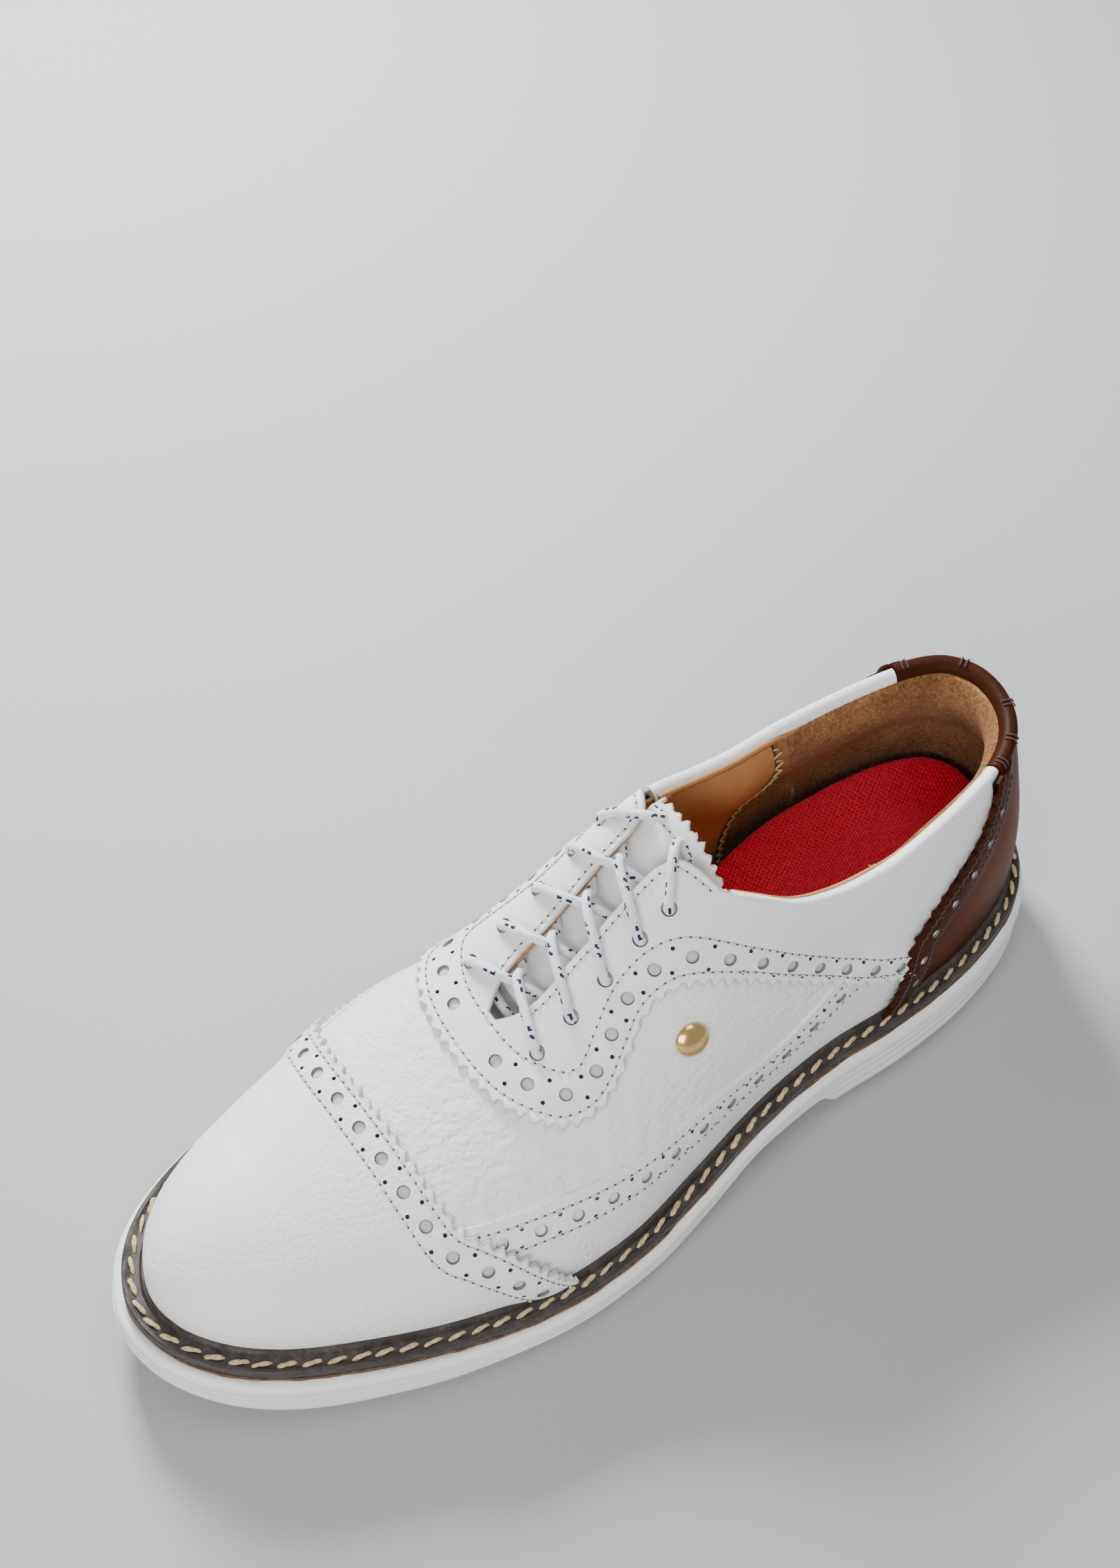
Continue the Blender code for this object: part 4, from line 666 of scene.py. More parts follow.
# ---- meshes ------------------------------------------------------------------------------------
def make(name, verts, faces, materials, indices=None, values=None, body="shoe",
         angle=40.0):
    """A piece in metres from points in mm, riding on a body."""
    verts = np.asarray(verts, float).copy()
    verts[:, :2] += SHIFT
    mesh = bpy.data.meshes.new(name)
    mesh.from_pydata((verts * MM).tolist(), [], [tuple(int(i) for i in f) for f in faces])
    for item in materials if isinstance(materials, (list, tuple)) else [materials]:
        mesh.materials.append(item)
    if indices is not None:
        mesh.polygons.foreach_set("material_index", np.asarray(indices, np.int32))
    if values is not None:
        layer = mesh.attributes.new("edge", "FLOAT", "POINT")
        layer.data.foreach_set("value", np.asarray(values, np.float32))
    work = bmesh.new()
    work.from_mesh(mesh)
    bmesh.ops.recalc_face_normals(work, faces=work.faces)
    work.to_mesh(mesh)
    work.free()
    mesh.shade_smooth()
    mesh.set_sharp_from_angle(angle=math.radians(angle))
    piece = bpy.data.objects.new(name, mesh)
    bpy.context.scene.collection.objects.link(piece)
    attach(piece, body)
    return piece


def metric_ring(chart, centre, radius, count):
    """Ring of chart points that is a true circle on the surface."""
    step = 0.5
    probe = np.array([centre, (centre[0] + step, centre[1]), (centre[0], centre[1] + step)])
    place = chart(probe)[0]
    slope = np.column_stack([(place[1] - place[0]) / step, (place[2] - place[0]) / step])
    lower = np.linalg.cholesky(slope.T @ slope)
    turns = np.linspace(0, 2 * math.pi, count, endpoint=False)
    circle = radius * np.vstack([np.cos(turns), np.sin(turns)])
    return np.asarray(centre) + np.linalg.solve(lower.T, circle).T


def row_along(chart, path, pitch, start=0.0, ends=0.0):
    """Points at a true pitch along a chart path, and the path's direction at each."""
    fine = resample(path, 0.5)
    along = arc_lengths(chart(fine)[0])
    count = max(1, int((along[-1] - start - ends) / pitch))
    at = start + (np.arange(count) + 0.5) * (along[-1] - start - ends) / count
    points = np.column_stack([np.interp(at, along, fine[:, k]) for k in range(2)])
    ahead = np.column_stack([np.interp(at + 0.6, along, fine[:, k]) for k in range(2)])
    return points, ahead - points


def pinked(path, side, depth=PINK_DEPTH, pitch=PINK_PITCH):
    """A path with a scalloped zigzag edge that stands out on one side (1 left, -1 right)."""
    fine = resample(path, 0.55)
    along = arc_lengths(fine)
    count = max(1, round(along[-1] / pitch))
    phase = (along / along[-1] * count) % 1.0
    tooth = 1 - np.abs(2 * phase - 1)
    wobble = (0.13 * np.sin(along * 5.1) + 0.12 * np.sin(along * 2.3 + 1.0)
              + 0.10 * np.sin(along * 0.9 + 2.0))
    out = depth * (tooth - 0.5 + wobble)
    return fine + sideways(fine) * (side * out)[:, None]


def join(*paths):
    points = np.vstack([np.atleast_2d(np.asarray(p, float)) for p in paths])
    keep = np.linalg.norm(points - np.roll(points, 1, 0), axis=1) > 0.12
    return points[keep]


def offset_path(path, amount):
    """An open path moved sideways to its left by an amount, or one amount for each point."""
    moved = path + sideways(path) * np.broadcast_to(amount, len(path))[:, None]
    keep = [0]
    for i in range(1, len(moved)):
        step = moved[i] - moved[keep[-1]]
        if step @ (path[min(i + 1, len(path) - 1)] - path[i - 1]) > 0:
            keep.append(i)
    return moved[keep]


def brogue_row(chart, path, start=0.0, ends=0.0, pitch=HOLE_PITCH, spread=2.5):
    """Holes of a brogue band: large ones along the path and small pairs between them."""
    large = row_along(chart, path, pitch, start, ends)[0]
    holes = [(tuple(p), BIG_HOLE) for p in large]
    fine = resample(path, 0.5)
    along = arc_lengths(chart(fine)[0])
    span = along[-1] - start - ends
    at = start + np.arange(1, len(large)) * span / len(large)
    middle = np.column_stack([np.interp(at, along, fine[:, k]) for k in range(2)])
    normal = sideways(fine)
    for k, p in enumerate(middle):
        n = normal[int(np.argmin(((fine - p)**2).sum(1)))]
        for sign in (-1, 1):
            holes.append((tuple(p + sign * spread * n), SMALL_HOLE))
    return holes


def panel(name, outline, chart, top, under, material, holes=(), lines=(), spacing=3.0,
          body="shoe", rounding=0.45, groove=0.22, hole_depth=0.95, edge_mat=None):
    """A closed leather panel over a pattern: rounded edge, sunken stitch lines, punched holes."""
    outline = resample(outline, 0.8, closed=True)
    rings, dots = [outline], []
    for centre, radius in holes:
        count = 14 if radius > 1 else 8
        rings.append(metric_ring(chart, centre, radius, count))
        dots.append(metric_ring(chart, centre, radius * 0.86, count))
        dots.append(np.array([centre]))
    low, high = outline.min(0), outline.max(0)
    for k, y in enumerate(np.arange(low[1] + spacing / 2, high[1], spacing * 0.87)):
        xs = np.arange(low[0] + (k % 2) * spacing / 2, high[0], spacing)
        dots.append(np.column_stack([xs, np.full(len(xs), y)]))
    scatter = np.vstack(dots[2 * len(holes):])
    fixed = np.vstack(rings + dots[:2 * len(holes)]) if holes else outline
    for line in lines:
        base = resample(line, 1.3)
        normal = sideways(base)
        for shift in (-0.75, 0.0, 0.75):
            fixed = np.vstack([fixed, base + normal * shift])
    for inset in (0.4, 1.1):
        fixed = np.vstack([fixed, offset_outline(outline, inset)])
    far = nearest(tree_of(fixed), scatter) > spacing * 0.45
    points = np.vstack([fixed, scatter[far]])
    ring_count = sum(len(r) for r in rings)
    keep = inside(points, outline)
    keep[:ring_count] = True
    keep[ring_count:] &= nearest(tree_of(outline), points[ring_count:]) > 0.22
    points = points[keep]
    edges, start = [], 0
    for ring in rings:
        edges += [(start + k, start + (k + 1) % len(ring)) for k in range(len(ring))]
        start += len(ring)
    result = delaunay_2d_cdt([Vector(p) for p in points], edges, [], 0, 1e-5)
    flat = np.array([tuple(p) for p in result[0]])
    corners = np.array([f[:3] for f in result[2]])
    corners = corners[inside(flat[corners].mean(1), outline)]
    used = np.unique(corners)
    renumber = -np.ones(len(flat), int)
    renumber[used] = np.arange(len(used))
    flat, corners = flat[used], renumber[corners]
    from_edge = distance(flat, outline, closed=True)
    h_top = np.asarray(top(flat), float)
    bend = np.clip(from_edge / rounding, 0, 1)
    h_top = h_top - rounding * (1 - np.sqrt(1 - (1 - bend)**2))
    for line in lines:
        h_top = h_top - groove * np.exp(-(distance(flat, line) / 0.7)**2)
    hole_of, small_of = np.zeros(len(flat), bool), np.zeros(len(flat), bool)
    for centre, radius in holes:
        near = np.where(np.abs(flat - centre).max(1) < radius * 2.2)[0]
        ring = metric_ring(chart, centre, radius * 0.95, 20)
        hit = near[inside(flat[near], ring)] if len(near) else near
        hole_of[hit] = True
        small_of[hit] = radius < 1
    h_top = h_top - hole_depth * hole_of
    h_under = np.asarray(under(flat), float)
    place, normal = chart(flat)
    verts = np.vstack([place + normal * h_top[:, None], place + normal * h_under[:, None]])
    count = len(flat)
    counted = {}
    for a, b, c in corners:
        for edge in ((a, b), (b, c), (c, a)):
            key = (min(edge), max(edge))
            counted[key] = None if key in counted else edge
    rim = [edge for edge in counted.values() if edge]
    faces = [tuple(f) for f in corners] + [(c + count, b + count, a + count)
                                           for a, b, c in corners]
    faces += [(b, a, a + count, b + count) for a, b in rim]
    values = np.concatenate([from_edge, from_edge])
    front = np.zeros(len(corners), int)
    # the band within 0.5 mm of the edge and the cut sides take edge_mat, a darker grey on white
    # leather: painted shade along the edge
    front[from_edge[corners].max(1) < 0.5] = 1
    # materials 2 to 4 are painted shade in the holes: grey floors, near-black small holes, dark
    # walls
    sunk = hole_of[corners].any(1)
    front[sunk] = 4
    front[hole_of[corners].all(1)] = 2
    front[sunk & (small_of[corners].max(1) > 0)] = 3
    indices = list(front) + [0] * len(corners) + [1] * len(rim)
    return make(name, verts, faces, [material, edge_mat or material, HOLE_FLOOR_SHADE, HOLE_SHADOW, HOLE_WALL_SHADE],
                indices, values, body)


def stitches(name, rows, material, height=0.12, pitch=STITCH_PITCH, length=1.9, radius=0.28,
             body="shoe", needle=True):
    """Separate sunken stitches along chart paths; rows are (chart, path, height function)."""
    rings = [(-1.0, 0.25, -0.5), (-0.7, 0.85, -0.12), (0.0, 1.0, 0.0), (0.7, 0.85, -0.12),
             (1.0, 0.25, -0.5)]
    around = np.linspace(0, 2 * math.pi, 6, endpoint=False)
    verts, faces = [], []
    for chart, path, rise in rows:
        points, ahead = row_along(chart, path, pitch)
        place, normal = chart(points)
        next_place = chart(points + ahead)[0]
        tangent = next_place - place
        tangent /= np.linalg.norm(tangent, axis=1)[:, None]
        h = np.asarray(rise(points), float) + height
        for c, t, n, up in zip(place, tangent, normal, h):
            b = np.cross(t, n)
            start = len(verts)
            for s, size, dip in rings:
                centre = c + t * (s * length / 2) + n * (up + dip * radius * 1.6)
                for a in around:
                    verts.append(centre + (b * math.cos(a) + n * math.sin(a)) * radius * size)
            faces += tube_faces(start, len(rings), 6)
    if needle:
        needle_hole_shadows(name + "_holes", rows, pitch, height, body)
    return make(name, verts, faces, material, body=body, angle=80)


def tube_faces(start, rings, around):
    """Faces of a capped tube whose rings of points follow one another from start."""
    faces = []
    for r in range(rings - 1):
        for k in range(around):
            a, b = start + r * around + k, start + r * around + (k + 1) % around
            faces.append((a, b, b + around, a + around))
    faces.append(tuple(start + k for k in range(around - 1, -1, -1)))
    faces.append(tuple(start + (rings - 1) * around + k for k in range(around)))
    return faces


def disc_faces(start, around):
    """Faces of a short prism whose two rings of points follow one another from start."""
    near, far = start, start + around
    return ([tuple(near + k for k in range(around)),
             tuple(far + k for k in range(around - 1, -1, -1))]
            + [(near + k, near + (k + 1) % around, far + (k + 1) % around, far + k)
               for k in range(around)])


def needle_hole_shadows(name, rows, pitch, height, body):
    """Needle pricks between the stitches, as dark discs sunk in the leather: painted shadow in the
    holes.
    """
    verts, faces = [], []
    turn = np.linspace(0, 2 * math.pi, 7, endpoint=False)
    for chart, path, rise in rows:
        points, ahead = row_along(chart, path, pitch)
        points = points + ahead / 0.6 * pitch / 2
        place, normal = chart(points)
        tangent = chart(points + ahead)[0] - place
        tangent /= np.linalg.norm(tangent, axis=1)[:, None]
        h = np.asarray(rise(points), float) + height - 0.13
        for c, t, n, up in zip(place, tangent, normal, h):
            b = np.cross(t, n)
            start = len(verts)
            for level in (0.0, -0.3):
                for a in turn:
                    verts.append(c + n * (up + level) + t * (0.40 * math.cos(a))
                                 + b * (0.27 * math.sin(a)))
            faces += disc_faces(start, 7)
    make(name, verts, faces, HOLE_SHADOW, body=body)


def sweep(name, sections, materials, closed=True, angle=40.0):
    """A closed skin over a list of sections, each with the same number of points."""
    sections = np.asarray(sections, float)
    rows, n = sections.shape[:2]
    faces = []
    for i in range(rows if closed else rows - 1):
        j = (i + 1) % rows
        for k in range(n):
            m = (k + 1) % n
            faces.append((i * n + k, i * n + m, j * n + m, j * n + k))
    if not closed:
        faces.append(tuple(range(n)))
        faces.append(tuple(range((rows - 1) * n, rows * n))[::-1])
    return make(name, sections.reshape(-1, 3), faces, materials, angle=angle)


# ---- seams -------------------------------------------------------------------------------------
def cap_seam():
    """Rear edge of the toe cap, from the lateral feather over to the medial one."""
    lateral = [LAST.to_spine(v, q, 1) for v, q in CAP_WING]
    medial = [LAST.to_spine(v, q, -1) for v, q in reversed(CAP_WING)]
    return resample(spline(np.array(lateral + [np.array(p, float) for p in CAP_ACROSS] + medial),
                           6), 1.0)


def band_seam(side):
    """Outer edge of the throat facing, from the centre forward to the counter."""
    points = []
    for reach, v in BAND_EDGE:
        x = THROAT_X + side * reach
        if v > 150:
            lateral = LAST.rib_length(LAST.rib_of_station(v, 1)) - (THROAT_X + reach)
            x = LAST.to_spine(v, float(lateral), side)[0]
        points.append((x, v))
    return resample(spline(points, 6), 1.0)


def foxing_seam(side, drop=0.0):
    points = [LAST.to_spine(v, q - drop, side) for v, q in FOXING_EDGE]
    return resample(spline(points, 5), 1.0)


def on_perimeter(v, side):
    """Perimeter-chart place of a station on one side."""
    return float(LAST.perimeter_at(LAST.rib_of_station(v, side)))


def counter_chart(side):
    """Front edge of the counter in the perimeter chart, from the feather to the top line."""
    points = [(on_perimeter(v, side), q) for v, q in COUNTER_EDGE]
    rib = LAST.FAN - 1.5 if side > 0 else len(LAST.grid) - 1 - LAST.FAN + 1.5
    points.append((float(LAST.perimeter_at(rib)), LAST.topline_q(rib)))
    return resample(spline(points, 6), 1.0)


def counter_in_spine(side, behind=0.0):
    """The same edge in the spine chart, moved back by so many stations."""
    points = [LAST.to_spine(min(v + behind, HEEL_CENTRE - 0.2), q, side)
              for v, q in COUNTER_EDGE if q < 60]
    return resample(spline(points, 5), 1.0)


def topline(side, start, stop, drop=0.0):
    stations = np.linspace(start, stop, max(2, int(abs(stop - start) / 1.5)))
    return np.array([LAST.to_spine(v, LAST.topline_q(LAST.rib_of_station(v, side)) - drop, side)
                     for v in stations])


def gap_half(v):
    return through(([0, 4.5, 8, 24, 49], [1.5, 4.4, 5.6, 5.75, 5.75]), v - THROAT_FRONT)


def throat_edge(side):
    stations = np.linspace(THROAT_FRONT, FACING_TOP, 50)
    return np.column_stack([THROAT_X + side * gap_half(stations), stations])


def facing_corner(side):
    top = topline(side, 175.0, 176.0)[0]
    half = float(gap_half(FACING_TOP))
    return spline([(THROAT_X + side * half, FACING_TOP),
                   (THROAT_X + side * (half + 3.0), FACING_TOP + 6.0), tuple(top)], 8)


def near(path, reach_low, reach_high):
    """A function of points: 1 close to a path and 0 beyond, for laps and swellings."""
    return lambda pts: 1 - smooth_step(distance(pts, path), reach_low, reach_high)


CAP_LINE = cap_seam()
BAND_LINE = {side: band_seam(side) for side in (1, -1)}
FOX_LINE = {side: foxing_seam(side) for side in (1, -1)}
CAP_LAP = near(CAP_LINE, 5, 15)
BAND_LAP = near(np.vstack([BAND_LINE[-1][::-1], BAND_LINE[1][1:]]), 5, 15)
FOX_LAP = {side: near(FOX_LINE[side], 5, 15) for side in (1, -1)}
ON_THE_LAST = -0.9                 # height of a panel's underside where nothing lies under it


def fox_under(side):
    return lambda pts: ON_THE_LAST + 0.95 * FOX_LAP[side](pts)


def fox_top(side):
    under = fox_under(side)
    return lambda pts: under(pts) + 0.85


def over_foxing(pts):
    """How far the foxing below lifts the pieces that lap over it."""
    q = LAST.from_spine(pts)[1]
    edge_q = np.interp(pts[:, 1], *zip(*FOXING_EDGE))
    return 0.85 * (1 - smooth_step(q, edge_q - 1.0, edge_q + 2.5))


def cap_under(pts):
    return ON_THE_LAST + CAP_LAP(pts) * (0.06 - ON_THE_LAST + over_foxing(pts))


def cap_top(pts):
    return cap_under(pts) + LEATHER + 0.45 * (1 - smooth_step(distance(pts, CAP_LINE), 0.3, 3.0))


def soft_dents(pts):
    """Soft dents of lasted leather, in mm."""
    x, v = pts[:, 0], pts[:, 1]
    return 0.5 * np.sin(x * 0.21 + 1.3 * np.sin(v * 0.11)) * np.sin(v * 0.17 + 0.7)


def band_under(pts):
    return ON_THE_LAST + BAND_LAP(pts) * (0.06 - ON_THE_LAST + over_foxing(pts))


def band_top(pts):
    edge = np.minimum(distance(pts, BAND_LINE[1]), distance(pts, BAND_LINE[-1]))
    return (band_under(pts) + LEATHER + 0.25 * soft_dents(pts)
            + 0.45 * (1 - smooth_step(edge, 0.3, 3.0)) * (1 - smooth_step(pts[:, 1], 208, 220)))


def vamp_top(pts):
    x, v = pts[:, 0], pts[:, 1]
    flex = smooth_step(v, 92, 104) * (1 - smooth_step(v, 128, 150))
    folds = np.sin(v * 0.62 + 0.02 * x * x / 9 + 1.4 * np.sin(x * 0.09))
    side = np.sin(v * 1.15 + 0.5 * x + 1.2 * np.sin(v * 0.07))
    quarter = smooth_step(np.abs(x), 34, 46) * smooth_step(v, 120, 140)
    return 0.12 * soft_dents(pts) + 0.16 * folds * flex + 0.03 * side * quarter


# ---- outer leather -----------------------------------------------------------------------------
def build_upper():
    feather = LAST.toe_in_spine(104, 160, 0)[::-1]
    rear = pinked(CAP_LINE, -1)
    first, second = offset_path(CAP_LINE, 2.0), offset_path(CAP_LINE, 9.6)
    row = offset_path(CAP_LINE, 5.8)
    panel("toe_cap_leather", join(rear, feather), spine_chart, cap_top, cap_under, WHITE,
          brogue_row(spine_chart, row, 3.0, 3.0), [first, second],
          edge_mat=CUT_EDGE_SHADE)
    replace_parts(bpy.data.objects["toe_cap_leather"], "toe_cap")
    stitches("toe_cap_stitches", [(spine_chart, first, cap_top), (spine_chart, second, cap_top)],
             WHITE_THREAD)

    build_vamp()
    for side, word in ((1, "lateral"), (-1, "medial")):
        build_foxing(side, word)
    build_facing()
    build_counter()


def build_vamp():
    """Vamp and sides in one piece, running under the cap, the foxings and the facing."""
    cap = offset_path(CAP_LINE, 4.0)
    cap = cap[(cap[:, 1] > 60) & (np.abs(cap[:, 0]) < 52)]
    low = {side: foxing_seam(side, 6.0) for side in (1, -1)}
    inner = {side: offset_path(BAND_LINE[side], side * 5.0) for side in (1, -1)}
    inner = {side: path[path[:, 1] < 216] for side, path in inner.items()}
    outline = join(cap, low[-1], inner[-1][::-1], inner[1], low[1][::-1])
    piece = panel("vamp_leather", outline, spine_chart, vamp_top,
                  lambda pts: np.full(len(pts), -LEATHER), WHITE_CREASED,
                  spacing=2.0, rounding=0.3)
    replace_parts(piece, "vamp")


def build_foxing(side, word):
    upper = FOX_LINE[side]
    inward = -side
    stations = np.linspace(220, 98, 90)
    feather = np.array([LAST.to_spine(v, 0, side) for v in stations])
    front = np.array([LAST.to_spine(v, q, side) for v, q in
                      [(94, 2), (86, 14), (80, 22), (74, 29), (73.5, 33)]])
    counter = counter_in_spine(side, 5.0)
    counter = counter[counter[:, 1] < 231.5][::-1]
    top_end = offset_path(BAND_LINE[side], side * 5.0)
    top_end = top_end[(top_end[:, 1] > 209) & (top_end[:, 1] < 228)]
    outline = join(upper, top_end, counter, feather, resample(spline(front, 5), 1.0))
    first, second = offset_path(upper, inward * 3.0), offset_path(upper, inward * 9.6)
    row = offset_path(upper, inward * 6.3)
    piece = panel("foxing_" + word + "_leather", outline, spine_chart, fox_top(side),
                  fox_under(side), WHITE, brogue_row(spine_chart, row, 6.0, 2.0, spread=2.3),
                  [first, second, offset_path(upper, inward * 1.3)],
                  rounding=0.6)
    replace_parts(piece, "foxing_" + word)
    stitches("foxing_" + word + "_stitches",
             [(spine_chart, first, fox_top(side)), (spine_chart, second, fox_top(side))],
             WHITE_THREAD)


def band_rows(side):
    """Stitch lines and hole row of the facing's band: closer together towards the heel."""
    edge = BAND_LINE[side]
    edge = edge[edge[:, 1] < 226]
    shrink = 1 - 0.34 * smooth_step(edge[:, 1], 140, 178)
    return [offset_path(edge, side * inset) for inset in (2.4, 12.2 * shrink, 7.2 * shrink)]


def build_facing():
    """Facing: a U round the throat that runs back as the collar's sides to the counter."""
    outer = {side: pinked(BAND_LINE[side], side) for side in (1, -1)}
    parts = {}
    for side in (1, -1):
        behind = counter_in_spine(side, 4.0)
        behind = behind[behind[:, 1] > 233]
        parts[side] = [outer[side], behind, topline(side, 261.6, 176.5),
                       facing_corner(side)[::-1][1:], throat_edge(side)[::-1][1:]]
    outline = join(*parts[1], np.vstack(parts[-1])[::-1])
    holes, lines, rows = [], [], []
    for side in (1, -1):
        first, second, row = band_rows(side)
        holes += brogue_row(spine_chart, row, 5.0, 1.0, spread=2.6)
        holes += [((THROAT_X + side * EYELET_OFFSET, v), EYELET_RADIUS) for v in EYELET_V]
        edge = throat_edge(side)[7:] + (side * 1.9, 0.0)
        around = offset_path(facing_corner(side), -side * 1.9)
        rim = np.vstack([edge, around[2:-2]])
        lines += [first, second, rim]
        rows += [(spine_chart, line, band_top) for line in (first, second, rim)]
    piece = panel("facing_leather", outline, spine_chart, band_top, band_under, WHITE_SMOOTH,
                  holes, lines, edge_mat=CUT_EDGE_SHADE, spacing=2.4)
    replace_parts(piece, "throat_facing")
    stitches("facing_stitches", rows, WHITE_THREAD)


def counter_shape(pts):
    """Height of the counter's underside: over the facing's edge, then down on the last."""
    front = np.minimum(distance(pts, counter_chart(1)), distance(pts, counter_chart(-1)))
    return ON_THE_LAST + (1.1 + 0.15 - ON_THE_LAST) * (1 - smooth_step(front, 5, 16))


def counter_top(pts):
    return counter_shape(pts) + LEATHER


def build_counter():
    lateral, medial = counter_chart(1), counter_chart(-1)
    start, stop = lateral[-1][0], medial[-1][0]
    top = np.array([(p, LAST.topline_q(LAST.rib_at(p)) - 1.0)
                    for p in np.linspace(start, stop, 50)[1:-1]])
    base = np.array([(p, 0.0) for p in np.linspace(medial[0][0], lateral[0][0], 160)[1:-1]])
    outline = join(pinked(lateral, -1), top, pinked(medial, 1)[::-1], base)
    rows = {}
    for side, path in ((1, lateral), (-1, medial)):
        rows[side] = [offset_path(path, side * d) for d in (2.6, 9.6, 6.2)]
    holes = [(p, r * 0.78) for side in (1, -1)
             for p, r in brogue_row(perimeter_chart, rows[side][2], 8.0, 6.0, 8.8, 2.2)]
    lines = [rows[side][k] for side in (1, -1) for k in (0, 1)]
    piece = panel("counter_leather", outline, perimeter_chart, counter_top, counter_shape, BROWN,
                  holes, lines)
    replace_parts(piece, "back_counter")
    stitches("counter_stitches", [(perimeter_chart, line, counter_top) for line in lines],
             BROWN_THREAD, pitch=2.2, radius=0.25)
    build_hole_floors("counter_hole_floors", [hole for hole in holes if hole[1] > 1])


def build_hole_floors(name, holes):
    """White underlay that shows through the counter's large holes."""
    verts, faces = [], []
    for centre, radius in holes:
        ring = metric_ring(perimeter_chart, centre, radius * 0.72, 12)
        h = float(counter_top(np.array([centre]))[0])
        start = len(verts)
        for lift in (-0.95, -0.7):
            verts += list(lifted(perimeter_chart, ring, h + lift))
        faces += disc_faces(start, 12)
    make(name, verts, faces, WHITE_SMOOTH)


def collar_roll(name, ribs, profile, material, node=None, sink=None):
    """A rolled edge along the top line; profile is (height over the last, rise)."""
    sections = []
    for i, rib in enumerate(ribs):
        q = LAST.topline_q(rib)
        place, normal = LAST.locate(rib, q)
        low = 0.0 if sink is None else float(sink[i])
        sections.append([place + normal * h + np.array([0, 0, z - low]) for h, z in profile])
    piece = sweep(name, sections, material, closed=False, angle=60)
    if node:
        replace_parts(piece, node)
    return piece


def build_collar():
    """White leather rolled over the top line, and the brown rolled tab round the heel."""
    roll = [(0.35, -2.6), (0.45, -1.0), (0.2, 0.2), (-0.6, 0.95), (-1.7, 1.2), (-2.8, 0.9),
            (-3.6, 0.1), (-3.9, -1.2), (-3.7, -2.4), (-1.7, -2.6)]
    turn = np.linspace(0, 2 * math.pi, 8, endpoint=False)
    bead = [(-4.1 + 0.75 * math.cos(a), 0.15 + 0.75 * math.sin(a)) for a in turn]
    total = len(LAST.grid) - 1
    for side, word in ((1, "lateral"), (-1, "medial")):
        stations = np.linspace(177.5, 236, 66)
        ribs = [float(LAST.rib_of_station(v, side)) for v in stations]
        collar_roll("collar_edge_" + word, ribs, bead, TAN,
                    sink=1.6 * smooth_step(stations, 214, 234))
        stations = np.linspace(176.5, 261.8, 70)
        ribs = [float(LAST.rib_of_station(v, side)) for v in stations]
        more = np.linspace(LAST.FAN, LAST.FAN - 3.0, 5)[1:]
        ribs += [float(r) if side > 0 else total - float(r) for r in more]
        collar_roll("collar_roll_" + word, ribs, roll, WHITE_SMOOTH)
    tab = [(1.35, -7.0), (1.6, -3.0), (1.5, -0.6), (0.9, 0.7), (-0.3, 1.5), (-1.8, 1.6),
           (-3.1, 0.9), (-3.9, -0.5), (-3.9, -2.2), (-2.0, -1.2), (0.6, -2.2), (0.7, -7.0)]
    ribs = [total + r if r < 0 else r for r in np.linspace(-36.5, 36.5, 90)]
    collar_roll("heel_tab_roll", ribs, tab, BROWN, "heel_tab")
    build_tab_stitches(tab)


def build_tab_stitches(tab):
    """Dark cross stitches that hold the rolled tab down."""
    total = len(LAST.grid) - 1
    verts, faces = [], []
    for r in (-34.0, -32.2, -14.0, -12.2, 8.0, 9.8, 23.0, 24.8, 33.5, 35.0):
        rib = total + r if r < 0 else r
        q = LAST.topline_q(rib)
        place, normal = LAST.locate(rib, q)
        route = spline([place + normal * (h + 0.25 * np.sign(h + 1.4)) + np.array([0, 0, z + 0.2])
                        for h, z in tab[2:6]], 4)
        start = len(verts)
        across = np.cross(normal, (0, 0, 1))
        for point, along in zip(route, np.gradient(route, axis=0)):
            along = along / np.linalg.norm(along)
            out = np.cross(across, along)
            for a in np.linspace(0, 2 * math.pi, 6, endpoint=False):
                verts.append(point + (across * math.cos(a) + out * math.sin(a)) * 0.28)
        faces += tube_faces(start, len(route), 6)
    make("heel_tab_stitches", verts, faces, BROWN_THREAD, angle=80)


# ---- linings, padding and tongue ---------------------------------------------------------------
def drop_from_topline(pts):
    rib, q = LAST.from_spine(pts)
    return np.array([LAST.topline_q(r) for r in rib]) - q


def padded_height(drop, puff):
    """The lining's height: in from the rolled edge, bulging over the padding, back to the wall."""
    bulge = np.where(drop < 11, np.sin(np.clip(drop, 0, 11) / 11 * math.pi / 2)**0.8,
                     1 - smooth_step(drop, 11, 36))
    return -3.5 - puff * bulge


def quarter_lining(pts):
    x, v = pts[:, 0], pts[:, 1]
    facing = (1 - smooth_step(np.abs(x - THROAT_X), 22, 34)) * (v < 186)
    puff = 4.6 * smooth_step(v, 180, 206)
    wave = 0.25 * np.sin(v * 0.23 + 0.8 * np.sin(x * 0.1))
    return padded_height(drop_from_topline(pts), puff) + 1.3 * facing + wave * (v > 186)


def heel_lining(pts):
    rib = LAST.rib_at(pts[:, 0])
    drop = np.array([LAST.topline_q(r) for r in rib]) - pts[:, 1]
    wave = 0.3 * np.sin(pts[:, 0] * 0.16) * np.sin(pts[:, 1] * 0.13 + 0.5)
    return padded_height(drop, 4.6) + wave


REAR_V = 234.0                     # station that the join of tan lining and suede is set from


def rear_seam(side):
    """The join of tan lining and suede inside the collar, an S up to the top line."""
    q_top = LAST.topline_q(LAST.rib_of_station(REAR_V - 14, side))
    shape = [(REAR_V - 26, 2), (REAR_V - 27, 0.3 * q_top), (REAR_V - 24, 0.5 * q_top),
             (REAR_V - 18, 0.68 * q_top), (REAR_V - 15, 0.85 * q_top), (REAR_V - 15, q_top - 0.6)]
    return spline(np.array(shape, float), 8)


